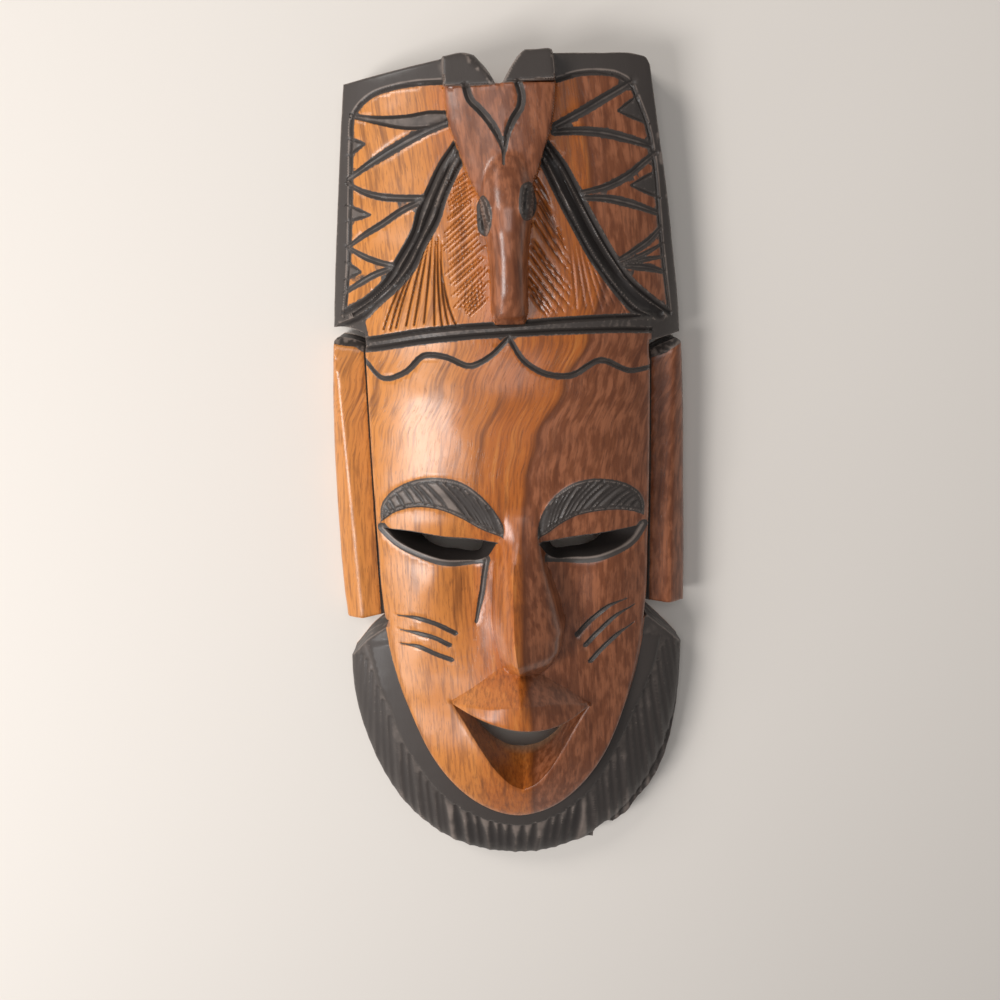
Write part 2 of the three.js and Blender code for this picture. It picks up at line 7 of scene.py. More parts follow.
import logging
import math
from dataclasses import dataclass, replace
from enum import Enum
from functools import cache

import bpy
import numpy as np
from bpy.types import ID, Material, Mesh, Node, NodeSocket, NodeTree, Object, bpy_prop_collection
from mathutils import Matrix, Vector, noise
from mathutils.geometry import delaunay_2d_cdt


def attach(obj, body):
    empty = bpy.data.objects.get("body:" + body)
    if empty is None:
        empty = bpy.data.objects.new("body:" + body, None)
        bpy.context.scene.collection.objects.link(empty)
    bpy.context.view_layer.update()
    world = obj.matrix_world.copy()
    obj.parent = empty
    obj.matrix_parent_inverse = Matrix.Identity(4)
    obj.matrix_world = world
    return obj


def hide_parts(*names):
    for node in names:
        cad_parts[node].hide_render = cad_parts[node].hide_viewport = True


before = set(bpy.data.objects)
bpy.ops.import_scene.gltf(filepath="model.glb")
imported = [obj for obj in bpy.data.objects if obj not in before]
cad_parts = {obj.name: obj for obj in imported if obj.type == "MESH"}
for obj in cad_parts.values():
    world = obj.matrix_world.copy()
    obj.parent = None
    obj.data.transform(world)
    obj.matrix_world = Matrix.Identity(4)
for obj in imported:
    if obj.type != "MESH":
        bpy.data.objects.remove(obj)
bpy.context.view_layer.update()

log = logging.getLogger("mask")

MM = 0.001
REACH = 3.0  # distances into an outline are followed this far
GAP = 0.9  # between points on a line
HEADDRESS_FOOT = 60.0
BEARD_TOP = -45.9
Array = np.ndarray
Lines = list[Array]
Beds = list[tuple[Array, float]]  # outlines filled with points, and the space between these
Knots = tuple[tuple[float, float], ...]
Colour = tuple[float, float, float]


# Sums on curves and outlines

def eased(low: float, high: float, value: Array) -> Array:
    """Smooth step from 0 at low to 1 at high."""
    t = np.clip((value - low) / (high - low), 0, 1)
    return t * t * (3 - 2 * t)


def column(rows: tuple, place: Array, which: int = 1, smooth: bool = False) -> Array:
    """Reads a table between its rows.

    Args:
        rows: the table, with a first column that rises from row to row.
        place: where to read, as values of the first column.
        which: the column to read.
        smooth: whether the way from row to row is rounded off.

    Returns:
        The column's value at each place.
    """
    table = np.asarray(rows, float)
    at, value = table[:, 0], table[:, which]
    if not smooth:
        return np.interp(place, at, value)
    i = np.clip(np.searchsorted(at, place, side="right") - 1, 0, len(at) - 2)
    t = eased(0, 1, (place - at[i]) / (at[i + 1] - at[i]))
    return value[i] + (value[i + 1] - value[i]) * t


def bell(x: Array, y: Array, centre: tuple, radii: tuple) -> Array:
    """A smooth hump of height 1 round a centre."""
    u, v = (x - centre[0]) / radii[0], (y - centre[1]) / radii[1]
    return np.exp(-(u * u + v * v) / 2)


def lengths(line: Array) -> Array:
    """The lengths of a line's pieces."""
    return np.hypot(*np.diff(line[:, :2], axis=0).T)


def even(line: Array, count: int) -> Array:
    """The same line with a number of evenly spaced points."""
    way = np.concatenate([[0], np.cumsum(lengths(line))])
    places = np.linspace(0, way[-1], count)
    return np.column_stack([np.interp(places, way, values) for values in line.T])


def curve(knots: Knots | Array, per_knot: int = 14) -> Array:
    """Points along a smooth curve through knots, with per_knot points on each stretch."""
    p = np.asarray(knots, float)
    p = np.vstack([2 * p[0] - p[1], p, 2 * p[-1] - p[-2]])
    gaps = lengths(p)
    slopes = np.diff(p, axis=0) / gaps[:, None]
    before, after = gaps[:-1, None], gaps[1:, None]
    ways = (slopes[:-1] * after + slopes[1:] * before) / (before + after)
    t = np.linspace(0, 1, per_knot, endpoint=False)[:, None]
    stretches = []
    for i in range(len(ways) - 1):
        a, b, gap = p[i + 1], p[i + 2], gaps[i + 1]
        place = (2 * t**3 - 3 * t**2 + 1) * a + (3 * t**2 - 2 * t**3) * b
        stretches.append(place + gap * ((t**3 - 2 * t**2 + t) * ways[i] + (t**3 - t**2) * ways[i + 1]))
    return np.vstack([*stretches, p[-2:-1]])


def spaced(line: Array, step: float = GAP) -> Array:
    """The same line with points about a step apart."""
    return even(line, max(2, round(lengths(line).sum() / step) + 1))


def ring(*runs: Knots, step: float = GAP) -> Array:
    """A closed outline of smooth runs that meet in corners, each starting where the last one ends."""
    return np.vstack([spaced(curve(run), step)[:-1] for run in runs])


def chained(*runs: Knots) -> tuple[Knots, ...]:
    """Runs round an outline, given without their first knots, where the runs before them end."""
    return tuple((last[-1], *run) for last, run in zip((runs[-1], *runs), runs))


def joined(one: Knots, other: Knots) -> Array:
    """A closed outline of two smooth sides with straight ends."""
    return ring(one, (one[-1], other[0]), other, (other[-1], one[0]))


def mirrored(knots: Knots) -> Knots:
    """The same knots on the other side of the middle, in turned order."""
    return tuple((-x, y) for x, y in reversed(knots))


def beside(line: Array, offset: float, closed: bool) -> Array:
    """A line moved sideways, to the left of the way it runs, which is inwards on an outline."""
    if closed:
        way = np.roll(line, -1, axis=0) - np.roll(line, 1, axis=0)
    else:
        way = np.gradient(line, axis=0)
    way = way / np.maximum(np.hypot(*way.T), 1e-9)[:, None]
    return line + offset * np.column_stack([-way[:, 1], way[:, 0]])


def tracks(line: Array, offsets: tuple[float, ...], closed: bool = True) -> Array:
    """Points of a line and its neighbours at some offsets."""
    return np.vstack([beside(line[:, :2], offset, closed) for offset in offsets])


def open_tracks(line: Array | Knots, *offsets: float) -> Array:
    """Evenly spaced points of an open line and its neighbours at some offsets."""
    return tracks(spaced(np.array(line)), offsets, closed=False)


def turned_left(line: Array) -> Array:
    """The same closed outline, turned to run round with its inside on the left."""
    x, y = line.T
    return line if (x * np.roll(y, -1) - np.roll(x, -1) * y).sum() > 0 else line[::-1]


def polygon(corners: Knots) -> Array:
    """A closed outline of straight pieces."""
    return turned_left(spaced(np.array(corners + corners[:1]))[:-1])


def within(points: Array, outline: Array) -> Array:
    """Which points lie inside a closed outline."""
    x, y = points.T
    found = np.zeros(len(points), bool)
    for (ax, ay), (bx, by) in zip(outline, np.roll(outline, -1, axis=0)):
        if ay != by:
            found ^= ((ay > y) != (by > y)) & (x < (bx - ax) * (y - ay) / (by - ay) + ax)
    return found


def inside(points: Array, outline: Array) -> Array:
    """Distance of each point into a closed outline, negative outside, up to the reach."""
    result = np.full(len(points), REACH)
    low, high = outline.min(axis=0) - REACH, outline.max(axis=0) + REACH
    result[np.any((points < low) | (points > high), axis=1)] = -REACH
    near = np.flatnonzero(result > 0)
    close = points[near]
    best = np.full(len(close), REACH**2)
    ends = np.roll(outline, -1, axis=0)
    for a, b in zip(outline, ends):
        low, high = np.minimum(a, b) - REACH, np.maximum(a, b) + REACH
        some = np.flatnonzero(np.all((close > low) & (close < high), axis=1))
        best[some] = np.minimum(best[some], off_segment(close[some], a, b))
    result[near] = np.sqrt(best) * np.where(within(close, outline), 1, -1)
    return result


def off_segment(points: Array, a: Array, b: Array) -> Array:
    """Square of each point's distance from a straight piece."""
    way = b - a
    t = np.clip((points - a) @ way / max(way @ way, 1e-12), 0, 1)
    return ((points - a - t[:, None] * way) ** 2).sum(axis=1)


def off_line(points: Array, line: Array) -> Array:
    """Distance of each point from a line, no further than the reach."""
    best = np.full(len(points), REACH**2)
    for a, b in zip(line[:-1], line[1:]):
        best = np.minimum(best, off_segment(points, a, b))
    return np.sqrt(best)


def uneven(points: Array, size: float, seed: float) -> Array:
    """Smooth chance values from about -1 to 1, with features of a size."""
    return np.array([noise.noise((x / size, y / size, seed)) for x, y in points[:, :2]])


# Node trees

@dataclass(frozen=True)
class Signal:
    """A value in a node tree that sums are written with."""

    nodes: "Nodes"
    socket: NodeSocket

    def __add__(self, other: object) -> "Signal":
        """The sum."""
        return self.nodes.math("ADD", self, other)

    def __sub__(self, other: object) -> "Signal":
        """The difference."""
        return self.nodes.math("SUBTRACT", self, other)

    def __rsub__(self, other: float) -> "Signal":
        """The difference from a number."""
        return self.nodes.math("SUBTRACT", other, self)

    def __mul__(self, other: object) -> "Signal":
        """The product."""
        return self.nodes.math("MULTIPLY", self, other)

    def __truediv__(self, other: object) -> "Signal":
        """The quotient."""
        return self.nodes.math("DIVIDE", self, other)


Signals = dict[str, Signal]


class Nodes:
    """Adds nodes to a tree and sets or links their inputs."""

    def __init__(self, tree: NodeTree) -> None:
        """Starts on a tree, whose nodes are cleared."""
        self.tree = tree
        tree.nodes.clear()

    def add(self, kind: str, inputs: dict | None = None, **settings: object) -> Node:
        """Adds a node.

        Args:
            kind: the node's type in Blender.
            inputs: for each input, by identifier, name or place, a value, a socket, a signal, or a
                node for its first output.
            settings: the node's own properties.

        Returns:
            The new node.
        """
        node = self.tree.nodes.new(kind)
        for name, value in settings.items():
            setattr(node, name, value)
        for key, value in (inputs or {}).items():
            socket = self.find(node.inputs, key)
            if isinstance(value, Signal):
                value = value.socket
            elif isinstance(value, Node):
                value = value.outputs[0]
            if isinstance(value, NodeSocket):
                self.tree.links.new(value, socket)
            else:
                socket.default_value = value
        return node

    @staticmethod
    def find(sockets: bpy_prop_collection, key: str | int) -> NodeSocket:
        """A socket by its place, its identifier or its name."""
        return next((s for s in sockets if s.identifier == key), None) or sockets[key]

    def signal(self, node: Node, key: str | int = 0) -> Signal:
        """One of a node's outputs."""
        return Signal(self, self.find(node.outputs, key))

    def math(self, operation: str, *values: object, clamp: bool = False) -> Signal:
        """The result of one arithmetic step."""
        step = {"operation": operation, "use_clamp": clamp}
        return self.signal(self.add("ShaderNodeMath", dict(enumerate(values)), **step))

    def share(self, value: object, low: object, high: object) -> Signal:
        """How far a value lies between low and high, as a smooth step from 0 to 1."""
        ends = {"Value": value, "From Min": low, "From Max": high}
        return self.signal(self.add("ShaderNodeMapRange", ends, interpolation_type="SMOOTHSTEP"))

    def blend(self, share: Signal, a: object, b: object) -> Signal:
        """One colour passing into another by a share."""
        a, b = ((*colour, 1.0) if isinstance(colour, tuple) else colour for colour in (a, b))
        inputs = {"Factor_Float": share, "A_Color": a, "B_Color": b}
        return self.signal(self.add("ShaderNodeMix", inputs, data_type="RGBA"), "Result_Color")

    def attribute(self, name: str) -> Signal:
        """A value stored on the mesh, read by a material."""
        return self.signal(self.add("ShaderNodeAttribute", attribute_name=name), "Fac")

    def stored(self, name: str) -> Signal:
        """A value stored on the mesh, read by Geometry Nodes."""
        return self.signal(self.add("GeometryNodeInputNamedAttribute", {"Name": name}, data_type="FLOAT"))


def geometry_tree(name: str, inputs: dict[str, str]) -> tuple[Nodes, Signals]:
    """Starts a Geometry Nodes tree.

    Args:
        name: the tree's name.
        inputs: the kind of socket of each input, by its name.

    Returns:
        The tree's nodes, and its inputs by name.
    """
    tree = bpy.data.node_groups.new(name, "GeometryNodeTree")
    tree.interface.new_socket("Geometry", in_out="OUTPUT", socket_type="NodeSocketGeometry")
    for title, kind in {"Geometry": "Geometry", **inputs}.items():
        tree.interface.new_socket(title, in_out="INPUT", socket_type=f"NodeSocket{kind}")
    nodes = Nodes(tree)
    return nodes, {socket.name: Signal(nodes, socket) for socket in nodes.add("NodeGroupInput").outputs}


def end_tree(nodes: Nodes, geometry: object, material: Signal) -> None:
    """Ends a Geometry Nodes tree in Realize Instances and Set Material."""
    real = nodes.add("GeometryNodeRealizeInstances", {0: geometry})
    nodes.add("NodeGroupOutput", {0: nodes.add("GeometryNodeSetMaterial", {0: real, "Material": material})})


def grow(piece: Object, tree: NodeTree, values: dict[str, object]) -> None:
    """Puts a tree on an object as a modifier, and sets its inputs by identifier."""
    modifier = piece.modifiers.new(tree.name, "NODES")
    modifier.node_group = tree
    for item in tree.interface.items_tree:
        if item.item_type == "SOCKET" and item.in_out == "INPUT" and item.name in values:
            modifier[item.identifier] = values[item.name]


def baked(piece: Object) -> Mesh:
    """The plain mesh that an object's modifiers make. The modifiers are removed."""
    bpy.context.view_layer.update()
    graph = bpy.context.evaluated_depsgraph_get()
    mesh = bpy.data.meshes.new_from_object(piece.evaluated_get(graph))
    piece.modifiers.clear()
    return mesh


def new_object(name: str, data: ID) -> Object:
    """A new object in the scene, at the origin."""
    made = bpy.data.objects.new(name, data)
    bpy.context.scene.collection.objects.link(made)
    return made


def new_mesh(name: str, points: list = (), edges: list = (), faces: list = ()) -> Object:
    """A new object with a mesh."""
    mesh = bpy.data.meshes.new(name)
    mesh.from_pydata(points, edges, faces)
    return new_object(name, mesh)


def vertices(mesh: Mesh) -> Array:
    """The places of a mesh's vertices, in millimetres."""
    flat = np.empty(len(mesh.vertices) * 3)
    mesh.vertices.foreach_get("co", flat)
    return flat.reshape(-1, 3) / MM


def read_values(mesh: Mesh, name: str) -> Array:
    """A value stored on each vertex of a mesh."""
    values = np.empty(len(mesh.vertices))
    mesh.attributes[name].data.foreach_get("value", values)
    return values


def store_values(mesh: Mesh, name: str, values: Array) -> None:
    """Stores a value on each vertex of a mesh."""
    mesh.attributes.new(name, "FLOAT", "POINT").data.foreach_set("value", values.astype(np.float32))


def new_material(name: str) -> tuple[Material, Nodes]:
    """A new material and its nodes."""
    material = bpy.data.materials.new(name)
    material.use_nodes = True
    return material, Nodes(material.node_tree)


# Strokes of the gouge

@dataclass(frozen=True)
class Run:
    """One stroke through knots, with the share of its full width at its start and its end."""

    knots: Knots
    start: float = 0.6
    end: float = 0.6
    wide: float = 1.0  # width against the other strokes of its family

    def line(self) -> Array:
        """Points along the stroke, as x, y and share of the width."""
        points = spaced(curve(self.knots))
        s = np.linspace(0, 1, len(points))
        first = self.start + (1 - self.start) * eased(0, 0.45, s)
        last = self.end + (1 - self.end) * eased(0, 0.45, 1 - s)
        return np.column_stack([points, np.minimum(first, last) * self.wide])


@dataclass(frozen=True)
class Fan:
    """Strokes spread between a line of roots and a line of tips, each bent towards a line between.

    The three lines have as many knots as each other, and strokes join places at like knots.
    """

    roots: Knots
    bends: Knots
    tips: Knots
    count: int
    jitter: float  # how far strokes stray sideways, against the space between them
    ragged: float  # how far they start late or end early, against their length
    root_share: float  # width at the root, against the full width
    tip_share: float
    steps: int
    seed: int
    GUIDE_POINTS = 241

    @staticmethod
    @cache
    def tree() -> NodeTree:
        """Grows strokes between three rows of points. Their height stands for their width."""
        nodes, given = geometry_tree("fan of strokes", {
            "guides": "Object", "count": "Int", "steps": "Int", "jitter": "Float", "ragged": "Float",
            "root_share": "Float", "tip_share": "Float", "seed": "Int", "material": "Material",
        })
        guides = nodes.add("GeometryNodeObjectInfo", {"Object": given["guides"]})
        straight = nodes.add("GeometryNodeCurvePrimitiveLine")
        stroke = nodes.add("GeometryNodeResampleCurve", {0: straight, "Count": given["steps"]})
        copies = {"Geometry": stroke, "Amount": given["count"]}
        strokes = nodes.add("GeometryNodeDuplicateElements", copies, domain="SPLINE")
        index = nodes.signal(strokes, "Duplicate Index")
        way = nodes.signal(nodes.add("GeometryNodeSplineParameter"), "Factor")

        def chance(number: int, low: object, high: object) -> Signal:
            """A chance value for each stroke."""
            picks = {"Min_001": low, "Max_001": high, "ID": index, "Seed": given["seed"] + number}
            return nodes.signal(nodes.add("FunctionNodeRandomValue", picks, data_type="FLOAT"), "Value_001")

        half = given["jitter"] * 0.5
        place = index + 0.5 + chance(0, half * -1.0, half)
        place = nodes.math("DIVIDE", place, given["count"], clamp=True)
        begin = chance(40, 0.0, given["ragged"])
        finish = 1.0 - chance(80, 0.0, given["ragged"])
        s = begin + way * (finish - begin)
        rest = 1.0 - s
        position = nodes.add("GeometryNodeInputPosition")
        along = nodes.math("ROUND", place * (Fan.GUIDE_POINTS - 1))
        parts = []
        for guide, weight in enumerate((rest * rest, rest * s * 2.0, s * s)):
            point = along + guide * Fan.GUIDE_POINTS
            reading = {"Geometry": guides.outputs["Geometry"], "Value": position, "Index": point}
            sample = nodes.add("GeometryNodeSampleIndex", reading, data_type="FLOAT_VECTOR")
            parts.append(nodes.add("ShaderNodeVectorMath", {0: sample, "Scale": weight}, operation="SCALE"))
        near = nodes.add("ShaderNodeVectorMath", {0: parts[0], 1: parts[1]}, operation="ADD")
        total = nodes.add("ShaderNodeVectorMath", {0: near, 1: parts[2]}, operation="ADD")
        lost_root = (1.0 - nodes.share(way, 0.0, 0.45)) * (1.0 - given["root_share"])
        lost_tip = nodes.share(way, 0.55, 1.0) * (1.0 - given["tip_share"])
        rise = nodes.math("MAXIMUM", lost_root, lost_tip) * MM
        spread = nodes.add("GeometryNodeSetPosition", {
            "Geometry": strokes.outputs["Geometry"], "Position": total,
            "Offset": nodes.add("ShaderNodeCombineXYZ", {"Z": rise}),
        })
        end_tree(nodes, nodes.add("GeometryNodeCurveToMesh", {"Curve": spread}), given["material"])
        return nodes.tree

    def lines(self, name: str, material: Material) -> Lines:
        """Grows the strokes.

        Args:
            name: what to call the guide curves.
            material: the finish that the tree sets.

        Returns:
            Points along each stroke, as x, y and share of the width.
        """
        rows = []
        for knots in (self.roots, self.bends, self.tips):
            line = curve(knots, 40)
            places = np.linspace(0, len(line) - 1, self.GUIDE_POINTS)
            x, y = (np.interp(places, range(len(line)), values) * MM for values in line.T)
            rows += zip(x, y, np.zeros(len(x)))
        guides = new_mesh(f"{name}_guides", rows)
        holder = new_mesh(f"{name}_strokes")
        grow(holder, self.tree(), {**vars(self), "guides": guides, "material": material})
        points = vertices(baked(holder))
        points[:, 2] = 1 - points[:, 2]
        for item in (holder, guides):
            bpy.data.objects.remove(item)
        return [points[i:i + self.steps] for i in range(0, len(points), self.steps)]


class Section(Enum):
    """Cross-section of a cut, as the power of its flank and how far its edges are softened."""

    VEE = (1.15, 0.0)
    GOUGE = (2.0, 0.0)
    SCOOP = (1.8, 0.0)  # a gouge on ground that has close points already
    SOFT = (1.0, 1.0)


class Layer(Enum):
    """What a cut runs in. The antelope lies over the headdress, and cuts stop at its outline."""

    GROUND = 0.0
    ANTELOPE = 1.0


@dataclass(frozen=True)
class Cut:
    """A family of strokes made with one tool."""

    name: str
    width: float
    depth: float
    runs: tuple[Run, ...] = ()
    fans: tuple[Fan, ...] = ()
    section: Section = Section.VEE
    stain: float = -REACH  # how far the stain runs past the cut
    worn: float = 0.0  # how much of the stain is rubbed off the bottom
    layer: Layer = Layer.GROUND

    @staticmethod
    @cache
    def tree() -> NodeTree:
        """Cuts a surface along strokes, and marks the stain and the wear."""
        nodes, given = geometry_tree("cut along strokes", {
            "strokes": "Object", "width": "Float", "depth": "Float", "flank": "Float", "softness": "Float",
            "stain": "Float", "worn": "Float", "above": "Float", "material": "Material",
        })
        strokes = nodes.add("GeometryNodeObjectInfo", {"Object": given["strokes"]})
        here = nodes.add("ShaderNodeSeparateXYZ", {0: nodes.add("GeometryNodeInputPosition")})
        flat = nodes.add("ShaderNodeCombineXYZ", {"X": here.outputs[0], "Y": here.outputs[1]})
        search = {0: strokes.outputs["Geometry"], "Source Position": flat}
        nearest = nodes.add("GeometryNodeProximity", search, target_element="EDGES")
        there = nodes.add("ShaderNodeSeparateXYZ", {0: nearest.outputs["Position"]})
        level = nodes.add("ShaderNodeCombineXYZ", {"X": there.outputs[0], "Y": there.outputs[1]})
        away = nodes.add("ShaderNodeVectorMath", {0: flat, 1: level}, operation="DISTANCE")
        off = nodes.signal(away, "Value") / MM
        width_share = 1.0 - nodes.signal(there, 2) / MM
        half = nodes.math("MAXIMUM", given["width"] * 0.5 * width_share, 0.02)
        apart = nodes.math("ABSOLUTE", nodes.stored("layer") - given["above"])
        allowed = nodes.math("SUBTRACT", 1.0, apart, clamp=True)
        flank = nodes.math("POWER", nodes.math("DIVIDE", off, half, clamp=True), given["flank"])
        plain = 1.0 - flank
        softer = nodes.share(plain, 0.0, 1.0) - plain
        profile = (plain + softer * given["softness"]) * allowed
        depth = given["depth"] * nodes.math("SQRT", width_share) * profile
        deeper = nodes.math("MAXIMUM", nodes.stored("cut"), depth)
        past = off - half - given["stain"] + apart * (2 * REACH)
        rubbed = (1.0 - nodes.share(off / half, 0.0, 0.6)) * given["worn"] * allowed
        kept = nodes.stored("bare") * (1.0 - profile)
        drop = nodes.add("ShaderNodeCombineXYZ", {"Z": (nodes.stored("cut") - deeper) * MM})
        geometry = nodes.add("GeometryNodeSetPosition", {"Geometry": given["Geometry"], "Offset": drop})
        marks = {
            "stain": nodes.math("MINIMUM", nodes.stored("stain"), past),
            "bare": nodes.math("MAXIMUM", kept, rubbed),
            "cut": deeper,
        }
        for name, result in marks.items():
            mark = {"Geometry": geometry, "Name": name, "Value": result}
            kind = {"data_type": "FLOAT", "domain": "POINT"}
            geometry = nodes.add("GeometryNodeStoreNamedAttribute", mark, **kind)
        end_tree(nodes, geometry, given["material"])
        return nodes.tree

    def lines(self, material: Material) -> Lines:
        """Every stroke of the family, as points x, y and share of the width."""
        found = [run.line() for run in self.runs]
        for number, fan in enumerate(self.fans):
            found += fan.lines(f"{self.name}_{number}", material)
        return found

    def tracks(self, lines: Lines) -> Lines:
        """Where the surface needs points, as a list of places for each stroke."""
        if self.section in (Section.SOFT, Section.SCOOP):
            return []
        half = self.width / 2
        offsets = (0.0, -half / 2, half / 2, -half, half) if half > 0.7 else (0.0, -half, half)
        return [tracks(line, offsets, closed=False) for line in lines]

    def apply(self, surface: Object, lines: Lines, material: Material) -> Object:
        """Puts the cut on a surface as a modifier.

        Args:
            surface: the object to cut.
            lines: the strokes.
            material: the finish that the tree sets.

        Returns:
            The object that holds the strokes, which goes once the modifier is baked.
        """
        points, edges = [], []
        for line in lines:
            start = len(points)
            points += [(x * MM, y * MM, (1 - share) * MM) for x, y, share in line]
            edges += [(start + i, start + i + 1) for i in range(len(line) - 1)]
        strokes = new_mesh(f"{self.name}_lines", points, edges)
        flank, softness = self.section.value
        grow(surface, self.tree(), {
            **vars(self), "strokes": strokes, "flank": flank, "softness": softness,
            "above": self.layer.value, "material": material,
        })
        return strokes


Cuts = tuple[Cut, ...]


# The parts of the carving

class Form:
    """A part of the front: the shape and stain that it gives, and the cuts it carries."""

    STEP = 0.35  # half the width of the slope where a form stands up from the next one

    def shape(self, p: Array, z: Array) -> Array:
        """The heights z at places p, with this form's own put in."""
        return z

    def paint(self, p: Array, stain: Array) -> Array:
        """The distances from stained wood, with this form's own put in."""
        return stain

    def rub(self, p: Array, bare: Array) -> Array:
        """How far the stain is rubbed off, with this form's own put in."""
        return bare

    def rows(self) -> Lines:
        """Where the front needs close points to show this form's edges."""
        return []

    def beds(self) -> Beds:
        """Outlines that the front fills with close points, and how close."""
        return []

    def cuts(self) -> Cuts:
        """The cuts in this form."""
        return ()

    def raised(self, z: Array, form: Array, depth: Array, ease: float) -> Array:
        """Lets a form stand on the heights z.

        Args:
            z: the heights below it.
            form: its own heights.
            depth: distances into its outline.
            ease: how much its top edge is rubbed round, in millimetres.

        Returns:
            The new heights.
        """
        worn = ease * np.clip(1 - depth / (2.2 * ease), 0, 1) ** 2
        top = form - np.minimum(worn, np.maximum(form - z, 0) * 0.6)
        return z + (top - z) * eased(-self.STEP, self.STEP, depth)


EDGE_ROWS = (0.0, -0.35, 0.35, -0.9, 0.9, 1.6)


@dataclass(frozen=True)
class Face(Form):
    """The rounded front from the hairline to the chin, with the hair above it."""

    half_width: float = 51.0
    cheek_y: float = -25.0
    chin_y: float = -128.0
    dome_half_width: float = 68.0
    base: float = -4.0
    chin_fall: float = 0.44
    middle: tuple = (
        (-128, 38.5), (-100, 39.5), (-75, 37), (-45, 35.5), (-20, 37.5), (0, 41), (18, 42.5), (42, 42),
        (64, 40), (100, 35.5), (130, 32.5), (159, 30),
    )

    def chin_share(self, y: Array) -> Array:
        """How far down the face narrows: 0 at the cheeks, 1 at the tip of the chin."""
        return np.clip((self.cheek_y - y) / (self.cheek_y - self.chin_y), 0, 1)

    def height(self, p: Array) -> Array:
        """The rounded front without nose, lips, brows and animal."""
        x, y = p.T
        rise = column(self.middle, y, smooth=True) - self.base
        share = 1 - (x / self.dome_half_width) ** 2 - self.chin_fall * self.chin_share(y) ** 4
        dome = self.base + rise * np.sqrt(np.maximum(share, 0))
        beside_nose = 4 * (bell(x, y, (-15, -27), (6, 15)) + bell(x, y, (21, -27), (6, 15)))
        chin = 5.5 * bell(x, y, (1, -95), (17, 19))
        cheeks = 1.8 * (bell(x, y, (-33, -38), (9, 14)) + bell(x, y, (36, -38), (9, 14)))
        return dome - beside_nose + chin + cheeks

    def outline(self) -> Array:
        """The outline, from the top of the hair round."""
        rows = self.cheek_y + (self.chin_y - self.cheek_y) * np.sin(np.linspace(0, math.pi / 2, 24))
        jaw = [(-self.half_width * (1 - s * s) ** 0.55, y) for y, s in zip(rows, self.chin_share(rows))]
        left = ((-14, 130), (-22.5, 112), (-30, 97), (-38, 85), (-48, 76), (-51, 73))
        side = ((-51, 73), (-51, 40), (-51, self.cheek_y))
        down = tuple(jaw)
        return ring(left, side, down, mirrored(down), mirrored(side), mirrored(left), ((14, 130), (-14, 130)))

    def below_headband(self) -> Array:
        """The outline of the bare face, up to the headband."""
        full = self.outline()
        band = column(HEADBAND_LOWER, full[:, 0]) - 1.0
        return np.column_stack([full[:, 0], np.minimum(full[:, 1], band)])

    def shape(self, p: Array, z: Array) -> Array:
        """Stands on the headdress, the flaps and the beard."""
        return self.raised(z, self.height(p), inside(p, self.outline()), 0.7)

    def paint(self, p: Array, stain: Array) -> Array:
        """Bare wood below the headband."""
        return np.maximum(stain, inside(p, self.below_headband()) + 0.3)

    def rows(self) -> Lines:
        """Along the outline."""
        return [tracks(self.outline(), EDGE_ROWS)]

    def cuts(self) -> Cuts:
        """The wavy hairline, the scars on the cheeks and the tear."""
        wave = (
            Run(((-50.9, 56.8), (-44.5, 51), (-36.3, 53.4), (-28.8, 59.5), (-21.8, 59), (-13.3, 55.9),
                 (-6.3, 59), (0.3, 65.2)), 0.8, 0.9),
            Run(((0.3, 65.2), (5.6, 56.9), (14.1, 52), (21.2, 51.4), (31.9, 55.8), (43, 51.2),
                 (50.9, 51.4)), 0.9, 0.8),
        )
        scars = tuple(Run(knots, 0.25, 1.1) for knots in (
            ((-44.7, -40.6), (-37.2, -40.3), (-30, -42), (-22.5, -46)),
            ((-43.9, -46.5), (-36.4, -46.7), (-30.3, -48), (-25, -50.7)),
            ((-44.2, -52.3), (-37.3, -52.2), (-30.6, -54.5), (-24.4, -56.6)),
            ((42.2, -35.8), (35.8, -37.1), (29.2, -42), (23, -48.5)),
            ((45.2, -39.3), (38.2, -41.8), (31.9, -46.9), (26.3, -52.6)),
            ((45.3, -46.7), (38.8, -49.8), (33.1, -54.2), (28, -59.2)),
        ))
        tear = (Run(((-9.9, -16.6), (-11.1, -23.1), (-12, -29.2), (-13.4, -35.8), (-14.8, -42)), 1.1, 0.6),)
        return (
            Cut("wave", 2.0, 0.9, wave, stain=0.1, worn=0.35),
            Cut("scars", 1.9, 0.75, scars, stain=0.05, worn=0.35),
            Cut("tear", 2.1, 0.7, tear, section=Section.GOUGE, stain=0.05, worn=0.5),
        )


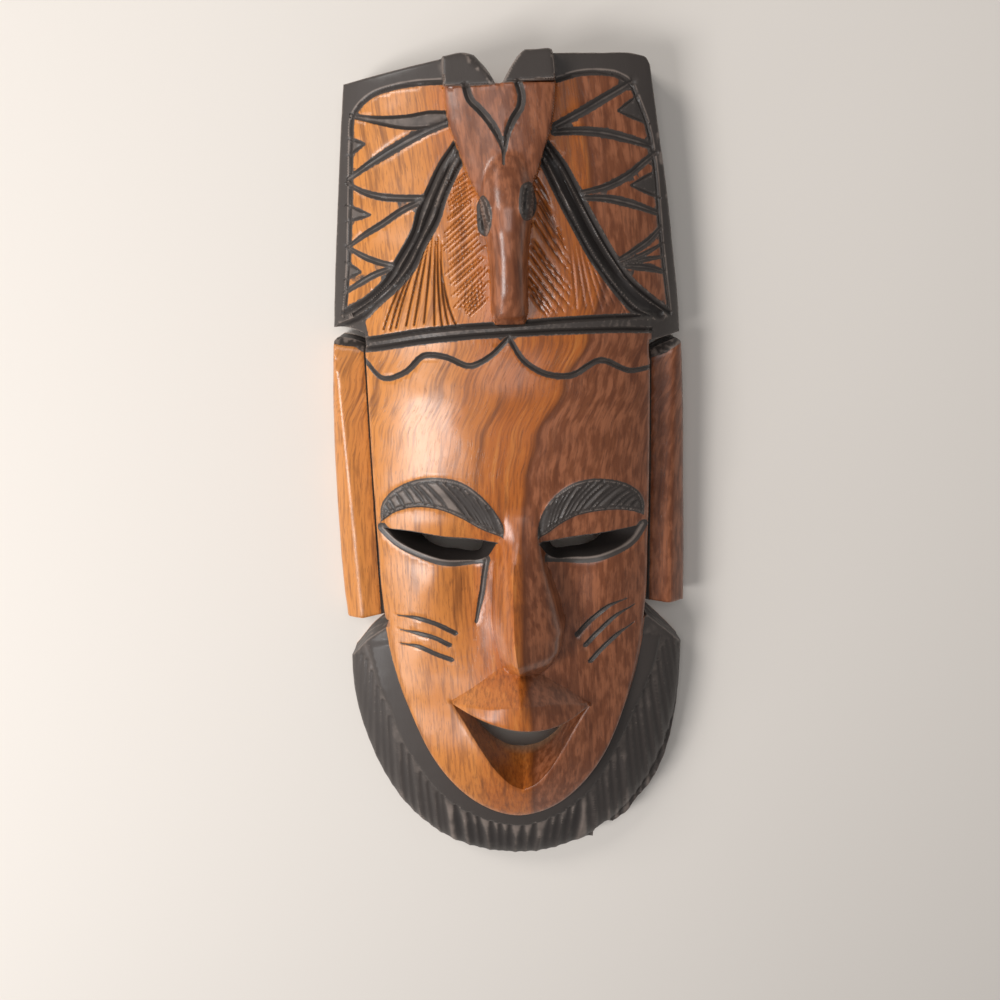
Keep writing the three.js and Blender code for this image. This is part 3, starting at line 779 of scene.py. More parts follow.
@dataclass(frozen=True)
class Nose(Form):
    """A ridge with a rounded left side and a broad plane on its right that ends in a sharp edge.

    The rows give, from base to root: y, x and z of the ridge, width to the left and to the right.
    """

    table: tuple = (
        (-61.4, 1, 40, 4, 8.6), (-58.4, 1, 46, 6.3, 11.6), (-53.5, 0.8, 55.4, 7.6, 14.8),
        (-49, 0.2, 58.8, 8, 17.6), (-42, -0.6, 58.4, 8.2, 19.6), (-30, -0.8, 53.3, 7.6, 16.8),
        (-18, -0.4, 47.6, 7, 12.6), (-8, 1.2, 43.6, 6.2, 8.8), (2, 2.6, 41.5, 5.6, 6.4), (8, 3.2, 41, 5, 5.6),
    )

    def shape(self, p: Array, z: Array) -> Array:
        """Stands on the face."""
        x, y = p.T
        ridge, top, left, right = (column(self.table, y, k) for k in (1, 2, 3, 4))
        t = np.clip(np.where(x < ridge, (ridge - x) / left, (x - ridge) / right), 0, 1)
        share = np.where(x < ridge, (1 - 0.3 * t) * (1 - t**2.2), (1 - 0.5 * t) * (1 - t**14))
        known = (y > self.table[0][0]) & (y < self.table[-1][0]) & (t < 1)
        return np.where(known, np.maximum(z, z + (top - z) * share), z)

    def outline(self) -> Array:
        """The outline, down the left side and up the right."""
        left = tuple((x - w, y) for y, x, _, w, _ in reversed(self.table))
        return joined(left, tuple((x + w, y) for y, x, _, _, w in self.table))

    def rows(self) -> Lines:
        """Along the outline, the ridge and the base."""
        ridge = curve(tuple((x, y) for y, x, *_ in self.table))
        return [tracks(self.outline(), (0.0, 0.4, 0.9, 1.5, 2.3)), open_tracks(ridge, 0.0, -1.2, 1.2)]


@dataclass(frozen=True)
class Lip(Form):
    """The upper lip, a beak of flat planes that meet in a crest. Rows give y, and z, along x."""

    face: Face
    top: Knots = (
        (-25.6, -73.2), (-18, -67.9), (-12.1, -63.4), (-6.4, -59.2), (-1, -56.2), (3, -57.2), (9.9, -62.4),
        (18.7, -68.7), (27.8, -76.2),
    )
    crest: tuple = (
        (-25.6, -73.5, 36), (-18, -72, 42.2), (-11.7, -71, 46.6), (-4.3, -68.9, 51.4), (0.8, -67.5, 54),
        (5.5, -68.2, 51.4), (11.8, -70.2, 47.4), (19.6, -73.2, 41.6), (27.8, -76.5, 36),
    )
    edge: Knots = ((-25.6, -73.9), (-13.6, -75.9), (1.6, -78.2), (15.4, -78.8), (27.8, -76.8))
    corner_z: float = 35.5
    edge_rise: float = 16.2  # of the middle of the edge above its corners

    def edge_height(self, x: Array) -> Array:
        """The height of the lip's edge, a dome from corner to corner."""
        middle = (self.edge[0][0] + self.edge[-1][0]) / 2
        share = (x - middle) / (self.edge[-1][0] - middle)
        return self.corner_z + self.edge_rise * np.maximum(1 - share**2, 0) ** 1.05

    def shape(self, p: Array, z: Array) -> Array:
        """Stands on the face above the mouth."""
        x, y = p.T
        top_y = column(self.top, x)
        crest_y, crest_z = column(self.crest, x), column(self.crest, x, 2)
        edge_y, edge_z = column(self.edge, x), self.edge_height(x)
        top_z = self.face.height(np.column_stack([x, top_y]))
        up = np.clip((y - crest_y) / np.maximum(top_y - crest_y, 1e-6), 0, 1)
        down = np.clip((crest_y - y) / np.maximum(crest_y - edge_y, 1e-6), 0, 1)
        height = crest_z + np.where(y > crest_y, (top_z - crest_z) * up, (edge_z - crest_z) * down)
        known = (x > self.crest[0][0]) & (x < self.crest[-1][0]) & (y < top_y) & (y > edge_y - 0.3)
        return np.where(known, np.maximum(z, height), z)

    def rows(self) -> Lines:
        """Along the top, the crest and the middle."""
        return [
            open_tracks(self.top, 0.0, 0.5),
            open_tracks(tuple((x, y) for x, y, _ in self.crest), 0.0, -0.6, 0.6),
            open_tracks(((-1, -56.4), (0.8, -67.5), (1.4, -77)), 0.0, -0.7, 0.7),
        ]


@dataclass(frozen=True)
class Brow(Form):
    """A raised crescent over an eye, stained and feathered with short strokes."""

    name: str
    upper: Knots  # from the outer end to the inner tip
    lower: Knots  # from the inner tip back
    fan: Fan
    wear: float
    rise: float = 1.2

    def outline(self) -> Array:
        """The crescent."""
        return turned_left(ring(self.upper, self.lower))

    def shape(self, p: Array, z: Array) -> Array:
        """Stands on the face."""
        return z + self.rise * eased(-self.STEP, 2.4, inside(p, self.outline())) ** 0.6

    def paint(self, p: Array, stain: Array) -> Array:
        """Stained all over."""
        return np.minimum(stain, -inside(p, self.outline()) + 0.1)

    def rows(self) -> Lines:
        """Along the outline."""
        return [tracks(self.outline(), (0.0, -0.4, 0.4, 0.9))]

    def rub(self, p: Array, bare: Array) -> Array:
        """Worn lighter on the lands between the strokes."""
        worn = self.wear * (1 + 0.5 * uneven(p, 5, 1.7))
        return np.maximum(bare, worn * eased(0.2, 1.0, inside(p, self.outline())))

    def beds(self) -> Beds:
        """All over."""
        return [(self.outline(), 0.45)]

    def cuts(self) -> Cuts:
        """The feather strokes, and the lines inside the edge."""
        edge = self.outline()
        closed = [np.vstack([line, line[:1]]) for line in (beside(edge, 1.7, True), beside(edge, 0.9, True))]
        dark, light = (Run(tuple(map(tuple, line[::4])), 1, 1) for line in closed)
        return (
            Cut(f"{self.name}_rim", 1.1, 0.4, (dark,)),
            Cut(f"{self.name}_edge", 0.7, 0.05, (light,), worn=0.7),
            Cut(f"{self.name}_feathers", 2.3, 0.75, fans=(self.fan,), section=Section.SCOOP),
        )


BROWS = (
    Brow(
        "left_brow",
        ((-49, -3.4), (-48.2, 3.6), (-44.4, 9.2), (-38.8, 13.3), (-31.3, 16), (-24.7, 16.4), (-18.3, 15.1),
         (-11.4, 10.2), (-6, 3.3), (-3.2, -3), (-3.6, -6.6)),
        ((-3.6, -6.6), (-11.2, -3.6), (-19, 1), (-26.1, 3.9), (-33.4, 4.5), (-42.5, 1.7), (-49, -3.4)),
        Fan(
            ((-47.3, 1.5), (-44.6, 7), (-40.4, 11.2), (-35.8, 13.4), (-30.7, 14.6), (-24.6, 14.8),
             (-20.1, 13.4), (-14.9, 10.8), (-10.4, 7.2), (-6.6, 2.6)),
            ((-46.9, 0.6), (-43.6, 4.8), (-38, 8.4), (-31.9, 9.9), (-24.6, 9.4), (-17.2, 7.4), (-13.6, 5.6),
             (-10.2, 3.6), (-7.4, 1.2), (-5, -1.4)),
            ((-46.2, -0.6), (-42.6, 2.2), (-36.5, 4.6), (-29.6, 5), (-20.6, 2.4), (-12.4, -2.2), (-9.4, -3.6),
             (-7, -4.6), (-5.4, -5.2), (-4.2, -5.8)),
            15, 0.6, 0.12, 0.75, 0.45, 14, 3,
        ),
        wear=0.5,
    ),
    Brow(
        "right_brow",
        ((8.5, -7.5), (8.9, -2.6), (11.9, 4.9), (16.3, 9.9), (21.3, 12.9), (27.9, 14.1), (35.3, 13),
         (42.2, 10.1), (46.6, 6.3), (48.7, 1.9), (48.8, -3.6)),
        ((48.8, -3.6), (45.5, -1.6), (38.4, 0.6), (30.1, 1.1), (23.5, 0.3), (16.9, -2.6), (11.8, -6.1),
         (8.5, -7.5)),
        Fan(
            ((9.7, -3), (11.4, 2.4), (14.6, 6.6), (19.2, 10.2), (25, 12.4), (31.4, 12.8), (37.2, 11.2),
             (41.8, 9), (45.4, 6.2), (47.6, 2.6)),
            ((9.4, -5), (10.2, -1.6), (12, 1.6), (15, 4.6), (19.4, 6.9), (24.6, 8.4), (30.4, 8), (36, 6.8),
             (41.2, 4.8), (46, 1.6)),
            ((9.4, -6.6), (9.9, -6), (11.2, -5.2), (13.6, -3.8), (16.6, -2), (20.4, 0.2), (25.4, 1.4),
             (31.4, 1.6), (38, 1.2), (44, -0.2)),
            18, 0.6, 0.12, 0.7, 0.45, 14, 5,
        ),
        wear=0.2,
    ),
)


@dataclass(frozen=True)
class Antelope(Form):
    """The antelope's head: a long muzzle, a shield above it, the dark tips of the horns, the eyes."""

    muzzle_x: float = 0.9
    muzzle: tuple = (
        (69.5, 40.5, 5), (73, 46.5, 6.2), (80, 49, 6.4), (92, 50.5, 6.6), (101, 51, 7.8), (108, 50, 9),
        (114, 47.5, 9.2), (121, 44, 8.4), (134, 35, 5),
    )
    shield: Knots = (
        (110, 7.4), (112.5, 8.6), (116, 10.4), (125.6, 14), (135.5, 17.3), (141, 18), (147.2, 18.4),
    )
    shield_z: float = 37.5
    slope: float = 0.17
    left_tip: tuple = chained(
        ((-2.1, 147.6), (-3.9, 150.9), (-8.3, 156.2)),
        ((-11.9, 157), (-18.9, 156.2)),
        ((-19, 151), (-18.8, 146.6)),
        ((-10, 146.2), (-2, 146.4)),
    )
    right_tip: tuple = chained(
        ((17.7, 152), (17, 157.6)),
        ((12, 157.8), (7.9, 157.6)),
        ((5.6, 155.4), (3.7, 152.9), (0.2, 146.8)),
        ((9, 147.2), (17.8, 147.6)),
    )
    left_eye: Knots = (
        (-9.3, 104.5), (-8.5, 99.9), (-6.6, 98.8), (-5, 101.2), (-4.2, 105.4), (-5, 110), (-6.9, 112.2),
        (-8.8, 110), (-9.3, 104.5),
    )
    right_eye: Knots = (
        (4.6, 110.9), (4.8, 106.4), (6.3, 104), (8.9, 104.2), (10.6, 106.8), (10.4, 112.4), (8.6, 116),
        (5.9, 115.2), (4.6, 110.9),
    )

    left_facet: Knots = ((-11.5, 157.4), (-10.1, 154.2), (-6.6, 151), (-3.3, 146.6))
    right_facet: Knots = ((0.6, 146.8), (1.4, 148.4), (3.9, 153.1), (7.4, 157.6))

    def eyes(self) -> tuple[Array, Array]:
        """The outlines of both eyes."""
        return ring(self.left_eye, step=0.6), ring(self.right_eye, step=0.6)

    def tips(self) -> tuple[Array, Array]:
        """The outlines of the tips of both horns."""
        return ring(*self.left_tip), ring(*self.right_tip)

    def head(self) -> Array:
        """The outline of the shield."""
        right = tuple((w - 0.4, y) for y, w in self.shield)
        return joined(right, tuple((-w - 0.4, y) for y, w in reversed(self.shield)))

    def nose_line(self) -> Array:
        """The outline of the muzzle."""
        right = tuple((self.muzzle_x + w, y) for y, _, w in self.muzzle)
        return joined(right, tuple((self.muzzle_x - w, y) for y, _, w in reversed(self.muzzle)))

    def shape(self, p: Array, z: Array) -> Array:
        """Stands on hair and headdress."""
        x, y = p.T
        top, half = column(self.muzzle, y), column(self.muzzle, y, 2)
        t = np.abs(x - self.muzzle_x) / half
        known = (t < 1) & (y > self.muzzle[0][0]) & (y < self.muzzle[-1][0])
        share = np.sqrt(np.maximum(1 - np.clip(t, 0, 1) ** 2.6, 0))
        muzzle = np.where(known, np.maximum(z, z + (top - z) * share), z)
        fall = 1.6 * np.clip(np.abs(x) / column(self.shield, y), 0, 1) ** 4
        plate = self.shield_z + (147 - y) * self.slope - 0.11 * np.abs(x) - fall
        z = np.maximum(muzzle, self.raised(z, plate, inside(p, self.head()), 0.4))
        for tip, facet in zip(self.tips(), (self.left_facet, self.right_facet)):
            depth = inside(p, tip)
            past = eased(0, 1, within(p, self.past(facet)) * off_line(p, curve(facet)) / REACH)
            height = self.shield_z + 1.4 - np.maximum(y - 146.5, 0) * 0.35 - 0.1 * np.abs(x) - 1.5 * past
            z = self.raised(z, height, depth, 0.6)
        for eye in self.eyes():
            depth = inside(p, eye)
            z = z + 0.9 * eased(-0.3, 0.9, depth) - 0.5 * eased(1.3, 2.0, depth)
        return z

    @staticmethod
    def past(facet: Knots) -> Array:
        """What lies between a facet's line and the notch."""
        return np.vstack([curve(facet), [(0.0, 158.0)]])

    def layer(self, p: Array) -> Array:
        """1 on the antelope and 0 beside it."""
        over = np.maximum(inside(p, self.head()), inside(p, self.nose_line()))
        for tip in self.tips():
            over = np.maximum(over, inside(p, tip))
        return eased(-0.1, 0.25, over)

    def rub(self, p: Array, bare: Array) -> Array:
        """Worn on the edges of the tips of the horns."""
        edges = (*self.left_tip[2:], self.right_tip[0], self.right_tip[3])
        for line in (self.left_facet, self.right_facet, *edges):
            bare = np.maximum(bare, 0.75 * (1 - eased(0.1, 0.6, off_line(p, curve(line)))))
        return bare

    def paint(self, p: Array, stain: Array) -> Array:
        """Bare, with dark tips of the horns and dark eyes."""
        bare = np.maximum(inside(p, self.head()), inside(p, self.nose_line())) + 0.2
        stain = np.maximum(stain, bare)
        for dark in (*self.tips(), *self.eyes()):
            stain = np.minimum(stain, -inside(p, dark))
        return stain

    def rows(self) -> Lines:
        """Along every outline."""
        lines = [tracks(self.head(), EDGE_ROWS)]
        lines.append(tracks(self.nose_line(), (0.0, -0.3, 0.25, 0.7, 1.4, 2.4)))
        lines += [tracks(tip, (0.0, -0.35, 0.35, 0.9, 1.6)) for tip in self.tips()]
        lines += [tracks(eye, (0.0, -0.3, 0.4, 0.9, 1.6)) for eye in self.eyes()]
        return lines

    def cuts(self) -> Cuts:
        """The horns, and the strokes beside the muzzle."""
        horns = (
            Run(((-11.5, 146.6), (-10.1, 142), (-7.3, 139.1), (-3.7, 134.7), (-1.2, 130.3), (0.1, 126),
                 (0.1, 121.7)), 1.0, 0.25),
            Run(((5.6, 146.8), (6.6, 142.6), (6.1, 139.4), (3.8, 135.9), (1.8, 131.7), (0.5, 126)), 1.0, 0.6),
        )
        slits = (
            Run(((-6.7, 110.6), (-5.9, 107.6), (-5.2, 104.1)), 0.4, 1),
            Run(((7.2, 113.7), (6.6, 110.3), (6.2, 106)), 0.5, 0.5),
        )
        left = Fan(
            ((-16.2, 117.5), (-19.4, 108.5), (-21, 99), (-21.1, 90), (-20, 82), (-17.4, 74.4), (-12.5, 72.2)),
            ((-13.4, 119.6), (-14.6, 112.6), (-15.2, 104), (-14.6, 95.6), (-13.4, 87.6), (-12.2, 79.6),
             (-9.6, 74.6)),
            ((-9.8, 121.5), (-8.8, 116), (-9.2, 109), (-7.2, 101), (-6.2, 93.5), (-6, 86), (-6.2, 77.6)),
            27, 0.6, 0.16, 0.6, 0.6, 14, 11,
        )
        right = Fan(
            ((8.8, 122), (9.6, 116), (10.8, 109), (8.9, 101), (7.6, 93), (7.4, 85), (7.6, 78)),
            ((12.2, 116.5), (14, 108), (16, 99.5), (15, 91.5), (14.4, 83), (13.2, 77.6), (10.6, 74)),
            ((15.2, 111), (18.6, 101), (22.4, 90.5), (24, 80.5), (22.8, 73.4), (17.6, 71.8), (12.6, 71.6)),
            14, 0.5, 0.14, 0.8, 0.3, 16, 12,
        )
        return (
            Cut("horns", 2.6, 1.1, horns, stain=0.1, worn=0.4, layer=Layer.ANTELOPE),
            Cut("slits", 1.3, 1.1, slits, layer=Layer.ANTELOPE),
            Cut("left_fur", 1.2, 0.6, fans=(left,), section=Section.SOFT),
            Cut("right_fur", 1.9, 0.65, fans=(right,), section=Section.SOFT),
        )

    def beds(self) -> Beds:
        """The fur on both sides of the muzzle."""
        left = polygon(((-9, 125), (-18, 120), (-23, 104), (-23.4, 90), (-20, 71.4), (-4, 71.4), (-6, 98)))
        right = polygon(((8, 125), (17, 118), (24, 102), (26.5, 84), (25, 70.4), (7, 70.4), (8, 98)))
        return [(left, 0.5), (right, 0.5)]


HEADBAND_UPPER: Knots = (
    (-51.5, 63.8), (-48.9, 64.2), (-29.5, 67.6), (-13.6, 69.1), (2.1, 69.7), (17.8, 70.3), (49.3, 69.4),
    (51.5, 69.2),
)
HEADBAND_LOWER: Knots = (
    (-51.5, 60.7), (-49.2, 61), (-29.7, 64.3), (-13.7, 65.9), (2, 66.6), (17.7, 66.7), (50.2, 64.6),
    (51.5, 64.4),
)


@dataclass(frozen=True)
class Headdress(Form):
    """The two wings of the headdress, the diagonal bands, the headband, and the hair between them."""

    face: Face
    dome_half_width: float = 70.0
    drop: float = 1.5
    left_band: Knots = (
        (-15.7, 129.1), (-21, 121.9), (-25.2, 113.9), (-28.2, 108), (-30.4, 101.3), (-36.6, 91.5),
        (-41.9, 83.8), (-48.2, 78.4), (-58.3, 72.9),
    )
    left_band_inner: Knots = (
        (-12.2, 125.8), (-16.5, 118.8), (-20.6, 110.8), (-22.6, 105.4), (-28.4, 96), (-31.9, 89.4),
        (-37, 83.8), (-45.6, 76.7), (-50.2, 72.6), (-60.6, 67.8),
    )
    right_band: Knots = (
        (14.5, 128.6), (19.7, 122.1), (24.6, 113.2), (28.8, 104.8), (33.6, 96.3), (38, 89.2), (42.5, 82.8),
        (51.1, 75), (58.7, 69.3),
    )
    right_band_inner: Knots = (
        (11.4, 125.8), (15.7, 117.1), (20.2, 108.1), (24.8, 99.7), (29.5, 91.2), (33.4, 85.6), (38.2, 79.2),
        (45.8, 71.4), (50.2, 69.4),
    )
    left_border: Knots = ((-51.7, 139.1), (-53.5, 119.3), (-55.5, 96.1), (-58.3, 72.9))
    left_top: Knots = (
        (-19.8, 147.9), (-30, 148.1), (-37.8, 147.1), (-43.5, 145.2), (-48.6, 141.5), (-51.7, 139.1),
    )
    right_border: Knots = (
        (45.5, 146), (47.9, 138.7), (49.6, 133.5), (51.3, 128.3), (52.6, 119.2), (53.9, 108.5), (54.9, 96.8),
        (56.8, 84.8), (58.7, 69.3),
    )
    right_top: Knots = ((17.7, 148.8), (25.7, 150.4), (33.5, 150.7), (39.8, 149.2), (45.5, 146))
    teeth: tuple[Knots, ...] = (
        ((-52.6, 132.1), (-46.7, 130.1), (-53.8, 126.1)),
        ((-54.8, 110.2), (-46.2, 106.7), (-55.6, 104.5)),
        ((-56.6, 90.8), (-50.7, 87.5), (-57.4, 84.6)),
        ((46.4, 142.8), (39.3, 138.1), (50.6, 133.8)),
        ((53.1, 118.4), (43.8, 113.9), (54.8, 109.3)),
    )
    wedge: Knots = (
        (-51.5, 140.1), (-40.9, 138.3), (-30.5, 138.3), (-24.4, 139.1), (-16.8, 138.8), (-16.2, 136),
        (-26, 134.3), (-32.1, 134.5), (-41, 136.3), (-51.5, 138.9),
    )

    def left_field(self) -> Array:
        """The bare field of the left wing."""
        edge = ((-18.2, 146.6), (-16.6, 137.4), (-15.7, 129.1))
        border, top = self.left_border[::-1], self.left_top[::-1]
        return ring(self.left_band, border, top, (top[-1], edge[0]), edge)

    def right_field(self) -> Array:
        """The bare field of the right wing."""
        edge = ((14.5, 128.6), (16.6, 135), (17.4, 141.4), (17.7, 148.8))
        return ring(edge, self.right_top, self.right_border, self.right_band[::-1])[::-1]

    def hair(self) -> Array:
        """The bare hair between the bands and the headband."""
        left, right = self.left_band_inner[:-1], self.right_band_inner[::-1]
        band = tuple(k for k in HEADBAND_UPPER if abs(k[0]) < 49)
        return ring(left, (left[-1], band[0]), band, (band[-1], right[0]), right, (right[-1], left[0]))

    def shape(self, p: Array, z: Array) -> Array:
        """The wings, from the flaps' tops up."""
        x, y = p.T
        share = np.sqrt(np.maximum(1 - (x / self.dome_half_width) ** 2, 0))
        rise = column(self.face.middle, y, smooth=True) - self.face.base
        return np.where(y > HEADDRESS_FOOT, self.face.base + rise * share - self.drop, z)

    def paint(self, p: Array, stain: Array) -> Array:
        """Bare fields and hair, with the border's teeth stained."""
        for bare in (self.left_field(), self.right_field(), self.hair()):
            stain = np.maximum(stain, inside(p, bare))
        for dark in (*self.teeth, self.wedge):
            stain = np.minimum(stain, -inside(p, polygon(dark)))
        return stain

    def rub(self, p: Array, bare: Array) -> Array:
        """Worn inside wedge and teeth at the left, and chipped at the right edge."""
        for dark in (*self.teeth, self.wedge):
            bare = np.maximum(bare, 0.4 * (p[:, 0] < 0) * eased(0, 0.8, inside(p, polygon(dark))))
        chips = off_line(p, curve(((53.6, 133.5), (54.6, 126), (55.8, 118.5), (56.9, 110))))
        return np.maximum(bare, 0.9 * (1 - eased(0.2, 1.3, chips)) * eased(-0.1, 0.25, uneven(p, 2.2, 4.4)))

    def rows(self) -> Lines:
        """Along the fields."""
        return [tracks(line, (0.0, 0.5)) for line in (self.left_field(), self.right_field())]

    def cuts(self) -> Cuts:
        """Rims, zigzags, bands, headband and combed hair."""
        left_rim = (
            (-18.8, 149.5), (-29.1, 149.3), (-37, 148.3), (-43.5, 146.5), (-48.6, 143), (-51.1, 139.8),
            (-52.6, 130), (-54.4, 108), (-57, 84), (-59, 71.6),
        )
        right_rim = (
            (17.8, 148.8), (26.4, 151), (33.5, 151.2), (40.1, 150.1), (44.2, 147.6), (47.4, 141.5),
            (50.6, 133.8), (53.2, 122), (55.2, 103), (57.4, 84), (59.3, 69.6),
        )
        light = (Run(left_rim, 1, 0.6), Run(right_rim, 1, 0.6))
        rims = tuple(
            Run(tuple(map(tuple, beside(np.array(knots), offset, False))), 1, 0.6)
            for knots, offset in ((left_rim, 1.1), (right_rim, -1.1))
        )
        wedge = (Run(self.wedge[:5], 0.4, 1.0), Run(self.wedge[:4:-1], 0.4, 1.0))
        teeth = tuple(Run(pair, 0.6, 0.6) for tooth in self.teeth for pair in (tooth[:2], tooth[1:]))
        zigzag = (
            Run(((-53.5, 118.8), (-43.1, 124.7), (-32.4, 130.2), (-25.2, 133.4),
                 (-16.8, 136.2)), 0.6, 0.9, 1.3),
            Run(((-54, 117.4), (-47.8, 114.2), (-41.3, 112.5), (-34, 111.9), (-26.1, 111.7)), 0.6, 1.1),
            Run(((-55.5, 95.7), (-48.7, 100), (-41.8, 103.7), (-35, 107.8), (-26.9, 111.3)), 0.6, 0.9, 0.95),
            Run(((-55.5, 96.1), (-50.8, 93.4), (-45, 91.1), (-38.2, 89.4)), 0.6, 0.9, 0.9),
            Run(((-57.9, 79.8), (-51.4, 83.6), (-45.1, 86.8), (-38, 89.2)), 0.6, 0.8, 0.95),
            Run(((-59.4, 72), (-52.7, 75.7), (-46.3, 79.8), (-41.9, 83.8), (-37.5, 89.2)), 0.6, 0.9),
            Run(((17.6, 133.5), (27.1, 138.1), (35, 142.4), (44.4, 147.3)), 0.8, 0.9, 1.3),
            Run(((17.4, 131.7), (25.4, 131.9), (34.9, 131), (42.9, 129.1), (51.1, 126.8)), 0.8, 0.8, 1.25),
            Run(((26.2, 112), (34.7, 113.6), (42.9, 117.2), (48.8, 121.5), (53.1, 124.5)), 0.6, 0.8, 1.15),
            Run(((27.6, 110.3), (34.6, 109.9), (42.8, 108.1), (53.4, 104.5)), 0.7, 0.7, 1.15),
            Run(((39.2, 89.2), (45.3, 92.1), (50.2, 95), (55, 99.2)), 0.6, 0.8, 1.1),
            Run(((40, 88), (47.8, 90.4), (56, 94)), 0.5, 0.5, 0.7),
            Run(((40.4, 87.6), (49.5, 88.9), (56.4, 89.4)), 0.5, 0.5, 0.7),
            Run(((40.4, 87.2), (49.5, 86.1), (56.6, 84)), 0.6, 0.6, 1.1),
        )
        left_pair = (self.left_band, self.left_band_inner)
        right_pair = (self.right_band, self.right_band_inner)
        left_middle, right_middle = (
            tuple(((a + c) / 2, (b + d) / 2) for (a, b), (c, d) in zip(*pair))
            for pair in (left_pair, right_pair)
        )
        bands = (
            *(Run(band, 0.6, 1) for band in left_pair),
            Run(left_middle, 0.5, 0.8),
            *(Run(band, 0.7, 1) for band in right_pair),
        )
        headband = (Run(HEADBAND_UPPER, 1, 1), Run(HEADBAND_LOWER, 1, 1))
        left = Fan(
            ((-45.5, 66), (-38.6, 67.1), (-30.3, 68), (-22.3, 68.8), (-15.6, 68.8)),
            ((-38.8, 83.4), (-33.6, 85.6), (-27, 85.2), (-23.8, 82), (-21.1, 77)),
            ((-30.2, 91.4), (-26.6, 97.2), (-24.8, 100.2), (-22.6, 99.6), (-22, 91.3)),
            10, 0.4, 0.08, 0.9, 0.35, 26, 21,
        )
        right = Fan(
            ((22.6, 72), (29, 72), (36, 71.4), (42, 70.8), (46.4, 70)),
            ((22.4, 84), (26.4, 84), (31.4, 83.6), (36.2, 82), (40.4, 77.6)),
            ((21.6, 95), (23.8, 99), (27.8, 92.5), (31.6, 88.6), (35.4, 83)),
            9, 0.3, 0.12, 0.8, 0.3, 22, 22,
        )
        return (
            Cut("hair", 1.35, 0.85, fans=(left,), section=Section.SOFT),
            Cut("faint_hair", 1.1, 0.38, fans=(right,), section=Section.SOFT),
            Cut("light", 1.3, 0.05, light, stain=0.1, worn=0.8),
            Cut("rims", 1.5, 0.7, rims, stain=0.1),
            Cut("wedge", 1.3, 0.8, wedge, stain=0.0),
            Cut("teeth", 1.3, 0.6, teeth, stain=0.1),
            Cut("zigzag", 2.3, 0.95, zigzag, section=Section.GOUGE, stain=0.15, worn=0.45),
            Cut("bands", 2.6, 1.4, bands, stain=0.3),
            Cut("deep_band", 4.4, 2.4, (Run(right_middle, 0.6, 1),), section=Section.GOUGE, stain=0.3),
            Cut("headband", 2.1, 1.2, headband, stain=0.2),
        )

    def beds(self) -> Beds:
        """The combed hair."""
        left = polygon((
            (-47.5, 65.5), (-13, 68.6), (-19.5, 78), (-20.6, 100), (-23.5, 102.5), (-31.5, 93), (-42, 80),
        ))
        right = polygon(((20, 71.4), (48, 69.4), (40, 80), (30, 93), (24, 101.5), (21, 97)))
        return [(left, 0.42), (right, 0.55)]


@dataclass(frozen=True)
class Flaps(Form):
    """The flap beside each cheek, two planes that meet in a soft ridge."""

    inner_x: float = 52.0
    outer_x: float = 66.8
    inner_z: float = 16.4
    ridge_z: float = 17.8
    outer_z: float = 12.0
    left: tuple = chained(
        ((-52.5, 10), (-52.2, -44.4)),
        ((-68, -47),),
        ((-69, 10), (-66, 61.6)),
        ((-63, 61.8), (-58.8, 60.9), (-54.9, 60.2), (-53, 58.6), (-52.4, 58.4)),
    )
    right: tuple = chained(
        ((53.9, 53.7), (57.6, 55), (60.6, 56.9), (66, 58.8)),
        ((69, 10), (68, -45)),
        ((52.6, -42.4),),
        ((52.7, 10), (52.5, 53.2)),
    )

    def shape(self, p: Array, z: Array) -> Array:
        """Between the headdress and the beard."""
        x, y = np.abs(p[:, 0]), p[:, 1]
        left = p[:, 0] < 0
        share = np.where(left, np.interp(y, (-41, 61), (0.52, 0.26)), 0.44)
        ridge = self.outer_x - (self.outer_x - self.inner_x) * share
        rise = np.clip((x - self.inner_x) / (ridge - self.inner_x), 0, 1)
        fall = np.clip((x - ridge) / (self.outer_x - ridge), 0, 1)
        top = self.inner_z + (self.ridge_z - self.inner_z) * rise - (self.ridge_z - self.outer_z) * fall**1.1
        end = np.interp(p[:, 0], (-66, -52, 52, 66), (61.8, 59.4, 53.2, 58.8))
        top = top - 2.4 * eased(-0.3, 2.6, y - end)
        return np.where((y <= HEADDRESS_FOOT + 5 * left) & (y > BEARD_TOP), top, z)

    def rub(self, p: Array, bare: Array) -> Array:
        """Raw patches on the cut top ends."""
        lines = ((-63, 63.2), (-57.7, 63), (-52, 61)), ((52.5, 55.5), (57.6, 57), (62.4, 58.6))
        ends = np.maximum(*(1 - eased(1.0, 2.0, off_line(p, np.array(line))) for line in lines))
        return np.maximum(bare, 0.8 * ends * eased(-0.1, 0.3, uneven(p, 1.6, 6.1)))

    def paint(self, p: Array, stain: Array) -> Array:
        """Bare, with a dark groove beside the face and dark top ends."""
        for side in (self.left, self.right):
            stain = np.maximum(stain, inside(p, turned_left(ring(*side))))
        return stain

    def cuts(self) -> Cuts:
        """The groove between flap and face."""
        grooves = (
            Run(((-51.9, 61), (-51.9, 40), (-51.9, 0), (-51.5, -44)), 1, 1),
            Run(((52, 55), (52, 30), (52.1, 0), (51.9, -41.5)), 1, 1),
        )
        return (Cut("flap_grooves", 1.2, 0.6, grooves, section=Section.GOUGE),)


